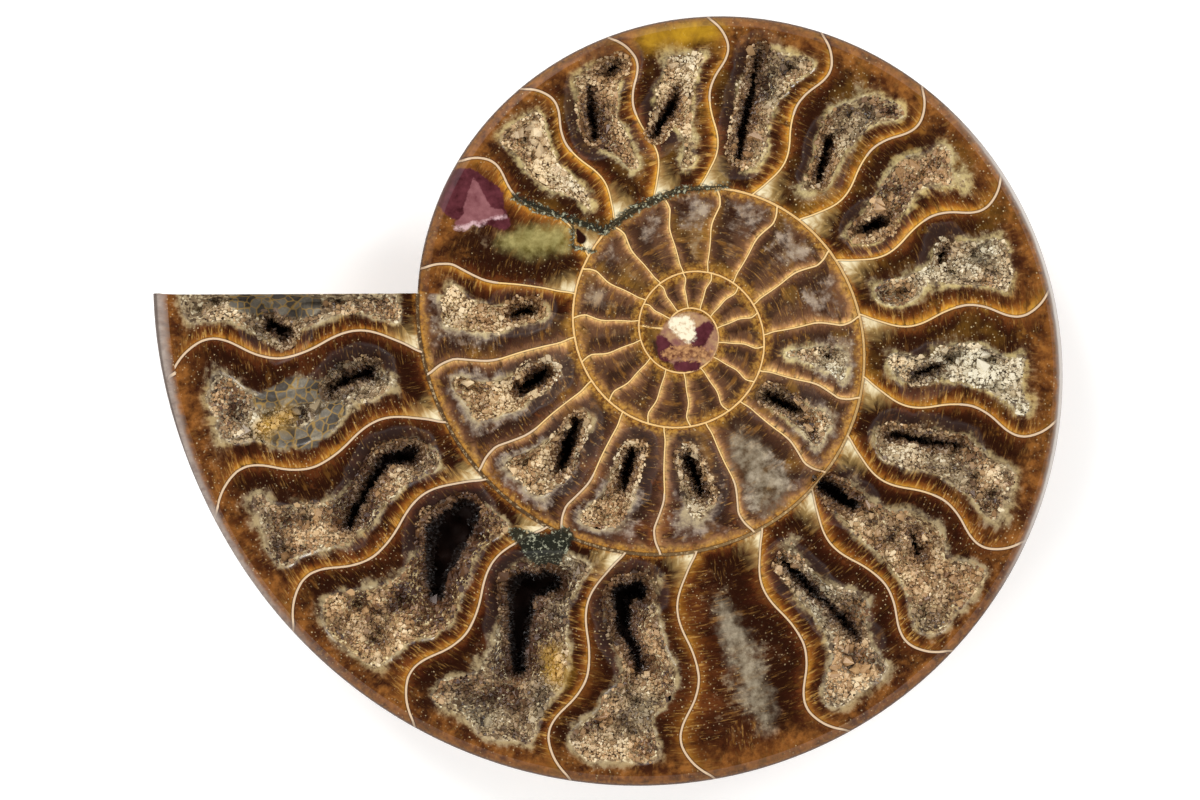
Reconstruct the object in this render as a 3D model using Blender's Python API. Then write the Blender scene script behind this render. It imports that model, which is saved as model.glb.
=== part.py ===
"""Polished half of a coiled ammonite, sawn through its middle plane and lying on its flank.

The polished cut faces up. X runs to the right of the cut face, Y to its top, and the shell's
mouth is at the left, where the last whorl ends in a straight cut. One solid holds the whole
petrified shell, and each crystal-lined hollow of the cut face has a crust of its own.
Values are in millimetres and degrees, and the meshes are made in metres.
"""
import math
import random

import bmesh
import bpy
import numpy as np

MM = 0.001

# Driving dimensions of the coil. The turn angle starts at the left and runs down, right and up,
# inwards, and these radii of the rim are taken every quarter turn from 90 degrees before the left.
RIM_RADII = (103.0, 87.4, 74.6, 61.9, 52.3, 44.3, 36.3, 29.0, 23.8, 18.7, 15.5, 12.6)
QUARTER = 90.0
WHOLE_TURN = 360.0
MOUTH_HEIGHT = 6.6
MOUTH_START = -10.0
AXIS_FROM_BOX_MIDDLE = (13.2, 11.1)

# Flank: half thickness at the mouth, how slowly it grows with the rim radius, and the level to
# which the back was ground so that the half lies steady. Profiles are shares of the rim radius
# and of the half thickness. A whorl is seen from its navel seam to where the next one covers it.
MOUTH_HALF_THICKNESS = 20.0
THICKNESS_GROWTH = 0.55
HALF_THICKNESS = 16.4
NAVEL_WALL = ((0.235, 0.80), (0.280, 0.93), (0.340, 0.98), (0.400, 1.00))
OUTER_FLANK = (
    (0.520, 1.00), (0.640, 0.97), (0.750, 0.88), (0.850, 0.72), (0.920, 0.55), (0.970, 0.36),
    (0.993, 0.20),
)
NAVEL_DEPTH = 5.5
COLUMN_STEP = 5.0
EDGE_ROUND = 1.9
EDGE_RINGS = 3

# Hollows: name, depth, crust thickness, and stations of x, y and half width along the middle
# line, measured from the coil's axis.
HOLLOWS = (
    ("mouth_pocket", 6.0, 1.2, ((-69.2, 1.6, 1.2), (-67.0, 0.1, 1.3))),
    ("first_pocket", 6.5, 1.3, ((-59.2, -9.3, 0.6), (-56.3, -7.4, 1.1), (-53.0, -6.3, 1.2))),
    ("bent_slit", 7.5, 1.4, ((-46.0, -20.2, 1.4), (-50.0, -21.0, 1.2), (-53.2, -25.8, 0.8),
                             (-56.2, -31.8, 0.6))),
    ("great_cave", 10.0, 1.7, ((-36.6, -29.6, 1.8), (-39.6, -33.4, 3.4), (-41.2, -39.6, 1.6),
                               (-41.6, -42.4, 0.8))),
    ("hooked_cave", 9.0, 1.6, ((-23.0, -40.6, 1.4), (-27.3, -42.2, 2.4), (-28.4, -48.8, 1.4),
                               (-28.0, -55.4, 0.7))),
    ("lower_cave", 8.0, 1.4, ((-8.2, -42.6, 1.4), (-11.0, -43.6, 1.5), (-10.6, -48.8, 1.0),
                              (-7.6, -55.6, 0.6))),
    ("slanting_slit", 7.5, 1.4, ((16.2, -37.8, 0.6), (20.6, -42.4, 0.9), (25.6, -47.4, 0.8),
                                 (28.4, -50.6, 0.5))),
    ("corner_cave", 8.0, 1.5, ((21.2, -24.0, 1.2), (24.0, -25.6, 1.9), (26.4, -27.8, 1.1))),
    ("short_slit", 6.0, 1.2, ((37.6, -33.2, 0.6), (38.2, -35.2, 0.8), (39.0, -37.2, 0.6))),
    ("level_slit", 7.0, 1.4, ((34.2, -16.8, 0.7), (38.8, -17.6, 1.0), (45.0, -18.6, 0.7))),
    ("right_slit", 6.0, 1.3, ((38.0, -7.0, 0.6), (40.0, -6.2, 0.9), (42.0, -5.3, 0.6))),
    ("right_notch", 5.0, 1.1, ((42.2, 11.8, 0.6), (42.9, 14.0, 0.7))),
    ("upper_pocket", 6.0, 1.2, ((29.7, 17.2, 0.8), (31.0, 17.9, 1.0), (32.6, 18.5, 0.8))),
    ("upper_slit", 6.5, 1.3, ((23.8, 32.4, 0.7), (23.0, 29.0, 0.9), (22.0, 25.8, 0.6))),
    ("top_slit", 7.0, 1.4, ((12.0, 46.4, 0.6), (10.8, 40.4, 0.9), (9.5, 34.6, 0.9),
                            (8.6, 29.3, 0.6))),
    ("top_gash", 6.5, 1.3, ((-1.6, 39.4, 0.7), (-3.4, 36.2, 0.9), (-5.2, 33.2, 0.6))),
    ("left_gash", 6.5, 1.2, ((-16.2, 40.2, 0.9), (-15.8, 36.6, 1.1), (-15.2, 32.6, 0.7))),
    ("left_dimple", 5.0, 1.0, ((-13.4, 43.6, 0.7), (-11.6, 44.5, 0.7))),
    ("inner_dimple", 4.5, 1.0, ((-29.4, 3.2, 0.6), (-26.0, 4.0, 0.8))),
    ("inner_pocket", 5.5, 1.1, ((-27.4, -9.1, 1.0), (-25.4, -7.6, 1.4), (-23.3, -6.3, 0.9))),
    ("inner_cave", 6.0, 1.2, ((-18.3, -14.9, 0.9), (-19.8, -18.4, 1.4), (-21.1, -22.4, 0.9))),
    ("inner_slit", 5.5, 1.1, ((-8.9, -19.7, 0.9), (-9.9, -22.8, 1.1), (-10.6, -25.7, 0.7))),
    ("inner_gash", 5.5, 1.1, ((0.4, -20.8, 1.0), (1.7, -23.8, 1.2), (2.7, -26.6, 0.8))),
    ("inner_corner", 5.0, 1.1, ((13.7, -10.3, 0.7), (16.2, -11.4, 1.0), (18.5, -12.6, 0.7))),
)
CRUST_GAP = 0.3
HOLLOW_STATIONS = 5
CAP_ANGLES = tuple(math.radians(degrees) for degrees in (50.0, 90.0, 130.0))
HOLLOW_TAPER = 0.55
CUTTER_RISE = 2.0
CRUST_SINK = 0.15
CRUST_LEVELS = (0.30, 0.62, 0.84)
CRYSTAL_BITE = 0.42


def rim_radius(turn):
    """Radius of the rim: the logarithms of the quarter-turn radii, joined by a smooth curve."""
    steps = turn / QUARTER + 1.0
    first = int(min(max(math.floor(steps), 1), len(RIM_RADII) - 3))
    part = steps - first
    before, start, end, after = (math.log(RIM_RADII[first + k]) for k in (-1, 0, 1, 2))
    slope_in = (end - before) / 2.0
    slope_out = (after - start) / 2.0
    value = (
        start * (1 + 2 * part) * (1 - part) ** 2 + slope_in * part * (1 - part) ** 2
        + end * part ** 2 * (3 - 2 * part) + slope_out * part ** 2 * (part - 1)
    )
    return math.exp(value)


def on_plan(radius, turn):
    """Plan position of a point by its distance from the coil's axis and its turn angle."""
    angle = math.radians(180.0 + turn)
    return (
        radius * math.cos(angle) + AXIS_FROM_BOX_MIDDLE[0],
        radius * math.sin(angle) + AXIS_FROM_BOX_MIDDLE[1],
    )


def stone(name, colour, roughness):
    """A Principled material for polished or broken stone."""
    material = bpy.data.materials.new(name)
    material.use_nodes = True
    shader = material.node_tree.nodes["Principled BSDF"]
    shader.inputs["Base Color"].default_value = (*colour, 1.0)
    shader.inputs["Roughness"].default_value = roughness
    return material


def new_object(name, points, faces, material):
    """An object from points in millimetres."""
    mesh = bpy.data.meshes.new(name)
    mesh.from_pydata([tuple(c * MM for c in point) for point in points], [], faces)
    mesh.update()
    made = bpy.data.objects.new(name, mesh)
    bpy.context.collection.objects.link(made)
    if material:
        mesh.materials.append(material)
    return made


def ring_faces(rings, closed=True):
    """Quads between neighbouring rings, each a list of point numbers in the same order."""
    faces = []
    for lower, upper in zip(rings, rings[1:]):
        count = len(lower)
        for k in range(count if closed else count - 1):
            n = (k + 1) % count
            faces.append((lower[k], lower[n], upper[n], upper[k]))
    return faces


def half_thickness(turn):
    """Half thickness of the whorl at a turn angle."""
    return MOUTH_HALF_THICKNESS * (rim_radius(turn) / rim_radius(0.0)) ** THICKNESS_GROWTH


def shell_half(material):
    """The petrified shell: one growing half section, carried round the axis as a spiral strip.

    The strip's inner edge, the navel seam, is the line where the whorl before goes under it.
    """
    per_turn = int(WHOLE_TURN / COLUMN_STEP)
    covered = len(NAVEL_WALL)
    seam_share = NAVEL_WALL[-1][0]
    points = []

    def place(radius, turn, depth):
        points.append((*on_plan(radius, turn), HALF_THICKNESS - min(depth, HALF_THICKNESS)))
        return len(points) - 1

    columns = []
    for k in range(2 * per_turn + 1):
        turn = MOUTH_START + COLUMN_STEP * k
        radius = rim_radius(turn)
        thickness = half_thickness(turn)
        rows = NAVEL_WALL + OUTER_FLANK if k <= per_turn else NAVEL_WALL
        column = [place(radius * share, turn, thickness * depth) for share, depth in rows]
        if k <= per_turn:
            for ring in range(EDGE_RINGS + 1):
                bend = math.radians(90.0 * ring / EDGE_RINGS)
                inset = EDGE_ROUND * (1 - math.cos(bend))
                column.append(place(radius - inset, turn, EDGE_ROUND * (1 - math.sin(bend))))
        columns.append(column)
    seams = [columns[k + per_turn][covered - 1] for k in range(per_turn + 1)]
    for k in range(per_turn + 1, 2 * per_turn + 1):
        turn = MOUTH_START + COLUMN_STEP * k
        inner = rim_radius(turn) * seam_share / 2.0
        seams.append(place(inner, turn, half_thickness(turn + WHOLE_TURN)))

    strips = [[seam] + column for seam, column in zip(seams, columns)]
    faces = ring_faces([strip[:covered + 1] for strip in strips], closed=False)
    faces += ring_faces([strip[covered:] for strip in strips[:per_turn + 1]], closed=False)
    middle = place(0.0, 0.0, NAVEL_DEPTH)
    navel = seams[per_turn:] + columns[-1][:covered - 1]
    faces += [(middle, navel[k - 1], navel[k]) for k in range(len(navel))]
    mouth = strips[0] + strips[per_turn][covered + 1:][::-1]
    faces.append(tuple(mouth))
    faces.append(tuple(strip[-1] for strip in strips[:per_turn + 1]))
    return new_object("ammonite_half", points, faces, material)


def turn_outward(body):
    """Splits the faces into triangles and points them all outward."""
    mesh = bmesh.new()
    mesh.from_mesh(body.data)
    bmesh.ops.triangulate(mesh, faces=mesh.faces)
    bmesh.ops.recalc_face_normals(mesh, faces=mesh.faces)
    mesh.to_mesh(body.data)
    mesh.free()


def hollow_outline(stations, grow):
    """Outline round a middle line: both sides at the half width plus grow, with round ends."""
    line = np.array(stations)
    marks = np.linspace(0.0, len(line) - 1.0, HOLLOW_STATIONS)
    x, y, width = (np.interp(marks, range(len(line)), line[:, k]) for k in range(3))
    width = width + grow
    along = np.stack([np.gradient(x), np.gradient(y)], axis=1)
    along /= np.linalg.norm(along, axis=1)[:, None]
    across = np.stack([-along[:, 1], along[:, 0]], axis=1)
    spine = np.stack([x, y], axis=1)
    left = spine + across * width[:, None]
    right = spine - across * width[:, None]
    start = [spine[0] + width[0] * (across[0] * math.cos(a) - along[0] * math.sin(a)) for a in CAP_ANGLES]
    end = [spine[-1] + width[-1] * (along[-1] * math.sin(a) - across[-1] * math.cos(a)) for a in CAP_ANGLES]
    loop = np.concatenate([start, right, end, left[::-1]])
    return loop + np.array(AXIS_FROM_BOX_MIDDLE)


def cutter(name, depth, crust, stations):
    """The hollow's space, with walls that draw in a little towards the bottom."""
    top = hollow_outline(stations, crust + CRUST_GAP)
    floor = hollow_outline(stations, (crust + CRUST_GAP) * HOLLOW_TAPER)
    count = len(top)
    points = [(*p, HALF_THICKNESS + CUTTER_RISE) for p in top]
    points += [(*p, HALF_THICKNESS) for p in top]
    points += [(*p, HALF_THICKNESS - depth) for p in floor]
    rings = [[level * count + k for k in range(count)] for level in range(3)]
    faces = ring_faces(rings) + [tuple(rings[0][::-1]), tuple(rings[2])]
    made = new_object("cutter_" + name, points, faces, None)
    made.hide_render = True
    made.display_type = "WIRE"
    turn_outward(made)
    return made


def crust(name, depth, thickness, stations, chance, material):
    """A cup of grown-together crystals that lines a hollow, jagged on its inner side."""
    outer_top = hollow_outline(stations, thickness)
    outer_floor = hollow_outline(stations, thickness * HOLLOW_TAPER)
    hole = hollow_outline(stations, 0.0)
    count = len(hole)
    middle = hole.mean(axis=0)
    narrow = min(station[2] for station in stations)
    bite = min(CRYSTAL_BITE, narrow * 0.5)
    floor_height = HALF_THICKNESS - depth + CRUST_GAP
    room = depth - CRUST_GAP - CRUST_SINK
    points = [(*p, floor_height) for p in outer_floor]
    points += [(*p, HALF_THICKNESS - CRUST_SINK) for p in outer_top]
    outward = outer_top - hole
    outward /= np.linalg.norm(outward, axis=1)[:, None]
    for level, share in enumerate((0.0, *CRUST_LEVELS)):
        for k in range(count):
            zigzag = 1.0 if (k + level) % 2 else -1.0
            step = bite * zigzag * chance.uniform(0.35, 1.0)
            drop = room * share + chance.uniform(0.0, bite)
            pull = 1.0 - 0.25 * share
            spot = middle + (hole[k] - middle) * pull + outward[k] * step
            points.append((*spot, HALF_THICKNESS - CRUST_SINK - drop))
    rings = [[level * count + k for k in range(count)] for level in range(3 + len(CRUST_LEVELS))]
    faces = ring_faces(rings) + [tuple(rings[0][::-1]), tuple(rings[-1])]
    made = new_object("crust_" + name, points, faces, material)
    turn_outward(made)
    return made


def build():
    """The shell half with its hollows cut, and a crust in each hollow."""
    for old in list(bpy.context.scene.objects):
        bpy.data.objects.remove(old, do_unlink=True)
    chance = random.Random(7)
    calcite = stone("amber_calcite", (0.16, 0.062, 0.026), 0.15)
    druse = stone("druse_calcite", (0.42, 0.33, 0.23), 0.35)
    body = shell_half(calcite)
    turn_outward(body)
    mouth = new_object("cutter_mouth", [
        (x + AXIS_FROM_BOX_MIDDLE[0], y + AXIS_FROM_BOX_MIDDLE[1], z)
        for x in (-110.0, -45.0) for y in (MOUTH_HEIGHT, 40.0) for z in (-5.0, 25.0)
    ], [(0, 1, 3, 2), (4, 6, 7, 5), (0, 4, 5, 1), (2, 3, 7, 6), (0, 2, 6, 4), (1, 5, 7, 3)], None)
    mouth.hide_render = True
    mouth.display_type = "WIRE"
    cutters = [mouth]
    for name, depth, thickness, stations in HOLLOWS:
        cutters.append(cutter(name, depth, thickness, stations))
        crust(name, depth, thickness, stations, chance, druse)
    for tool in cutters:
        cut = body.modifiers.new(tool.name, "BOOLEAN")
        cut.operation = "DIFFERENCE"
        cut.solver = "EXACT"
        cut.object = tool


build()
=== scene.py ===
"""Looks of a polished ammonite half: its amber calcite face, chamber walls, crystal druse and back.

Lengths are in millimetres from the coil's axis, which is where the shell grew round. The turn
angle is in degrees: it starts at the left of the cut face and runs down, right, up and inwards.
"""
import math

import bpy
import numpy as np
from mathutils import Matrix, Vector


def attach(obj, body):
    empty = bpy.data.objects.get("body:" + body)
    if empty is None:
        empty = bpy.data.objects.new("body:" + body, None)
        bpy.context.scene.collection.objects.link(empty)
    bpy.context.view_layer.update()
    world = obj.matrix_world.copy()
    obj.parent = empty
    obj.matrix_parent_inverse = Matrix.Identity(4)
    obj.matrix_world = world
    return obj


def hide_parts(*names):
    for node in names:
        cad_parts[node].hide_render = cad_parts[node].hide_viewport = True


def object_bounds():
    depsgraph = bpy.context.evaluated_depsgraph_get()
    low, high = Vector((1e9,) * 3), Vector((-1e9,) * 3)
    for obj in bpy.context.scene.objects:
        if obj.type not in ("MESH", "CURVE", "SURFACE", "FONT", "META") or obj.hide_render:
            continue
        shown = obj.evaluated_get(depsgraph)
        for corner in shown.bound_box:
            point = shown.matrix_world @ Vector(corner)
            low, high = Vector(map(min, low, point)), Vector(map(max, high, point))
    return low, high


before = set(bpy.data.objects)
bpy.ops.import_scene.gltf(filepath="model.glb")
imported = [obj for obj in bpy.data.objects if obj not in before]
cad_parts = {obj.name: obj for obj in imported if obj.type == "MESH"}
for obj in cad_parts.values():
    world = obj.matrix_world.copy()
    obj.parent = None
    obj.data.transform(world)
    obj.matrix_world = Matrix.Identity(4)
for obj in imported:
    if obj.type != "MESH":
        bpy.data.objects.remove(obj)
cad_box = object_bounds()

# Camera: straight above the polished face, as the photograph looks at it. The object's edges in
# the 1200 by 800 picture give the scale and the small offset of its middle.
PICTURE = (1200.0, 800.0)
OBJECT_LEFT, OBJECT_RIGHT, OBJECT_TOP, OBJECT_BOTTOM = 156.0, 1064.0, 17.0, 785.0
LENS, SENSOR = 100.0, 36.0

low, high = cad_box
cut_level = high.z
pixel = (high.x - low.x) / (OBJECT_RIGHT - OBJECT_LEFT)
aim_x = (low.x + high.x) / 2 + (PICTURE[0] - OBJECT_LEFT - OBJECT_RIGHT) / 2 * pixel
aim_y = (low.y + high.y) / 2 - (PICTURE[1] - OBJECT_TOP - OBJECT_BOTTOM) / 2 * pixel
distance = PICTURE[0] * pixel * LENS / SENSOR
camera_data = bpy.data.cameras.new("camera")
camera_data.lens = LENS
camera_data.sensor_width = SENSOR
camera = bpy.data.objects.new("camera", camera_data)
camera.location = (aim_x, aim_y, cut_level + distance)
bpy.context.collection.objects.link(camera)
bpy.context.scene.camera = camera
bpy.context.scene.view_settings.view_transform = "Standard"


# Studio: a white table, lit a little from below, and four soft lamps round the object at a slant in
# a pale room with a dark ceiling, so that the polished face, seen from above, mirrors no light.
def linear(code):
    """Linear colour with alpha from an sRGB hex code."""
    parts = [int(code[k:k + 2], 16) / 255.0 for k in (1, 3, 5)]
    return (*[c / 12.92 if c <= 0.04045 else ((c + 0.055) / 1.055) ** 2.4 for c in parts], 1.0)


def add(tree, kind, inputs=(), out=0, stops=(), **settings):
    """Adds a node of a kind, with its settings, inputs and links, and returns one of its outputs.

    Inputs are the first ones in their order, or a table by name or number. Stops are a colour
    ramp's places and hex colours.
    """
    made = tree.nodes.new("ShaderNode" + kind)
    for key, value in settings.items():
        setattr(made, key, value)
    for number, (place, code) in enumerate(stops):
        elements = made.color_ramp.elements
        element = elements[number] if number < 2 else elements.new(place)
        element.position = place
        element.color = linear(code)
    table = inputs if isinstance(inputs, dict) else dict(enumerate(inputs))
    for key, value in table.items():
        if isinstance(value, bpy.types.NodeSocket):
            tree.links.new(value, made.inputs[key])
        else:
            made.inputs[key].default_value = value
    return made.outputs[out] if made.outputs else made


def new_material(name):
    """A new material of this name, with an empty tree, and that tree."""
    material = bpy.data.materials.new(name)
    material.use_nodes = True
    material.node_tree.nodes.clear()
    return material, material.node_tree


# Lamps: direction round the object in degrees, and watts. Reach, height and size are in metres.
LAMP_SLANTS = ((35.0, 2.1), (125.0, 3.9), (215.0, 2.1), (305.0, 1.6))
LAMP_REACH = 0.62
LAMP_HEIGHT = 0.50
LAMP_SIZE = 0.34
TABLE_HALF = 1.5
TABLE_GLOW = 0.16
ROOM_LIGHT = 0.75
CEILING_FROM, CEILING_TO = 0.80, 0.93

table_mesh = bpy.data.meshes.new("table")
table_mesh.from_pydata(
    [(x * TABLE_HALF, y * TABLE_HALF, 0.0) for x, y in ((-1, -1), (1, -1), (1, 1), (-1, 1))],
    [], [(0, 1, 2, 3)],
)
table = bpy.data.objects.new("table", table_mesh)
bpy.context.collection.objects.link(table)
white, tree = new_material("white_paper")
shader = add(tree, "BsdfPrincipled", {
    "Base Color": linear("#fbfbfa"), "Roughness": 0.9, "Specular IOR Level": 0.0,
    "Emission Color": linear("#ffffff"), "Emission Strength": TABLE_GLOW,
})
add(tree, "OutputMaterial", {"Surface": shader})
table_mesh.materials.append(white)

for slant, watts in LAMP_SLANTS:
    lamp_data = bpy.data.lights.new("lamp", "AREA")
    lamp_data.size = LAMP_SIZE
    lamp_data.energy = watts
    lamp = bpy.data.objects.new("lamp", lamp_data)
    turn = math.radians(slant)
    lamp.location = (LAMP_REACH * math.cos(turn), LAMP_REACH * math.sin(turn), LAMP_HEIGHT)
    lamp.rotation_euler = (math.atan2(LAMP_REACH, LAMP_HEIGHT), 0.0, turn + math.pi / 2)
    bpy.context.collection.objects.link(lamp)

world = bpy.data.worlds.new("soft_room")
world.use_nodes = True
tree = world.node_tree
upward = add(tree, "SeparateXYZ", (add(tree, "TexCoord", out="Generated"),), out="Z")
glow = add(tree, "MapRange", (upward, CEILING_FROM, CEILING_TO, ROOM_LIGHT, 0.0))
tree.links.new(glow, tree.nodes["Background"].inputs["Strength"])
tree.nodes["Background"].inputs["Color"].default_value = linear("#ffffff")
bpy.context.scene.world = world


# The shell half: one petrified piece. Whorls and chamber walls of shell, filled with amber and
# brown calcite, were sawn through the middle plane and polished. The visible mesh follows the coil
# as a spiral strip, so the chamber walls can be drawn from the growth of the shell itself.
MM = 0.001
AXIS = (13.2, 11.1)
QUARTER, WHOLE = 90.0, 360.0

# Radius of the whorl's outer wall at every quarter turn, from a quarter before the left side.
RIM_RADII = np.array((
    103.0, 87.4, 74.6, 61.9, 52.3, 44.3, 36.3, 29.0, 23.8, 18.7, 15.5, 12.6, 10.1, 7.9, 6.5, 5.1,
    4.1, 3.3, 2.7,
))

# The mouth is a straight cut, level in the picture, this high above the axis. It meets the inner
# wall at this turn, and the columns beside it lean over to it until they are upright again.
MOUTH_HEIGHT = 6.6
MOUTH_TURN = -8.45
MOUTH_FADE = 34.0

# The rim is rounded, less and less in its last degrees before the mouth's inner end. The flank's
# profile is share of the radius and share of the half thickness, softened but for the sharp rim.
# The back was ground level. Low ribs, a few degrees apart and bowed, fade out at both their ends.
EDGE_ROUND = 1.9
EDGE_FADE = 16.0
MOUTH_HALF_THICKNESS = 20.0
THICKNESS_GROWTH = 0.55
GROUND_LEVEL = 16.38
NAVEL_DEPTH = 5.5
FLANK = np.array((
    (0.000, 0.50), (0.170, 0.62), (0.200, 0.70), (0.235, 0.80), (0.280, 0.93), (0.340, 0.98),
    (0.400, 1.00), (0.520, 1.00), (0.640, 0.97), (0.750, 0.88), (0.850, 0.72), (0.920, 0.55),
    (0.970, 0.36), (1.000, 0.14),
))
FLANK_SOFT = 19
SHARP_RIM = 0.965
RIB_DEPTH, RIB_GAP, RIB_BOW = 0.30, 6.0, 10.0
RIB_START, RIB_END = (0.40, 0.62), (1.0, 0.93)

# Chamber walls. Each is met at these turns, at a bit over half of the whorl's height, and sweeps
# from there to the inner and outer wall as all of its neighbours do: height share, degrees.
SEPTUM_TURNS = np.array((
    3.6, 19.8, 35.5, 53.7, 73.8, 92.0, 110.6, 128.3, 147.0, 165.7, 185.8, 205.6, 224.9, 244.3,
    264.7, 283.4, 302.7, 321.5, 345.2, 367.8, 392.2, 416.5, 441.9, 467.4, 493.6, 518.3, 544.4,
    569.0, 593.4, 617.1, 639.4, 663.8, 687.2, 711.3, 734.1, 759.9, 785.5, 811.0, 837.0, 863.0,
    889.0, 915.0, 941.0, 967.0, 993.0, 1019.0, 1045.0, 1071.0,
))
OUTER_SWEEP = np.array((
    (0.00, 0.8), (0.05, -1.2), (0.10, -2.4), (0.16, -3.7), (0.22, -4.2), (0.28, -3.8),
    (0.34, -2.8), (0.40, -1.5), (0.46, -0.6), (0.52, -0.1), (0.56, 0.0), (0.61, -0.4),
    (0.66, -1.1), (0.71, -2.2), (0.76, -2.9), (0.81, -3.0), (0.86, -2.4), (0.93, -0.8), (1.00, 2.0),
))
INNER_SWEEP = np.array((
    (0.0, -6.0), (0.1, -3.4), (0.2, -2.6), (0.35, -1.4), (0.5, 0.0), (0.58, 0.2), (0.65, -0.3),
    (0.8, -1.6), (0.9, -0.6), (1.0, 1.4),
))
SWEEP_SOFT = 13
LAST_OUTER_SEPTUM, FIRST_INNER_SEPTUM = 330.0, 345.0

# What fills each chamber, from the mouth inwards: the thickness of its glassy brown lining, where
# there are no crystals, and how grey and how pale the crystals are. The innermost are all alike.
# One side of each chamber wall is amber, and the other has a thicker, dark lining. The amber side
# faces the mouth up to wall 4, and away from it after wall 7.
INMOST_LININGS, INMOST_CRUSTS = 18, 22
LININGS = np.array((
    3.0, 4.2, 3.7, 3.4, 2.9, 3.1, 3.4, 3.2, 3.0, 3.7, 3.8, 3.7, 3.4, 3.5, 3.3, 3.1, 3.0, 3.0,
    3.0, 3.5, 3.5, 3.2, 3.1, 3.1, 2.2, 2.6, 2.7, 2.0, 1.8, 1.7, 1.6,
) + (1.5,) * INMOST_LININGS)
NO_CRYSTALS = (6, 18, 24)
LAST_CRYSTALS = 26
GREYNESS = np.array((
    0.4, 0.5, 0.3, 0.0, 0.3, 0.2, 0.9, 0.5, 0.1, 0.3, 0.6, 0.4, 0.2, 0.2, 0.2, 0.1, 0.1, 0.1,
    0.5, 0.0, 0.0, 0.1, 0.1, 0.3, 0.9, 0.4, 0.4,
) + (0.4,) * INMOST_CRUSTS)
PALENESS = np.array((
    0.05, 0.0, -0.10, 0.04, 0.06, 0.06, 0.1, 0.16, 0.04, 0.15, 0.50, 0.25, 0.15, 0.20, 0.15, 0.38,
    0.2, 0.42, 0.0, 0.50, 0.62, 0.45, 0.35, 0.35, 0.1, 0.15, 0.15,
) + (0.0,) * INMOST_CRUSTS)

# How much thicker the lining is on the dark side, its share of that beside the whorl's inner and
# outer walls, how its corners are rounded, and how unevenly it swells. A chamber with no crystals
# fills up towards the full growth. Ray is measured at this share of the outer wall's radius.
AMBER_TURNS_ROUND = (7.0, 4.5)
DARK_SIDE, SIDE_CHANGE = 0.45, (0.25, 0.75)
INNER_WALL_SHARE, OUTER_WALL_SHARE, SHARE_CHANGE = 0.80, 0.66, (0.4, 0.6)
CORNER_BLEND, CORNER_ROUND = 0.9, 0.45
LINING_SWELL, LINING_SWELL_SIZE = 0.30, 8.0
FULL_GROWTH, FULL_RATE = 0.85, 1.1
RAY_SHARE = 0.75
NO_DRUSE = -3.0

# A painted highlight, a pale band, lies along the rim from the mouth on, and again at the right,
# where it is silvery: turns where it fades out and in.
LEFT_BAND = (50.0, 22.0)
RIGHT_BAND = ((135.0, 160.0), (225.0, 200.0))
NO_RIM = 9.0

# Seeds of the natural unevenness, so that every run gives the same.
BED_EDGE_SEED, BED_LUMP_SEED, LINING_SEED, HOLE_EDGE_SEED = 10, 20, 50, 90

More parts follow.
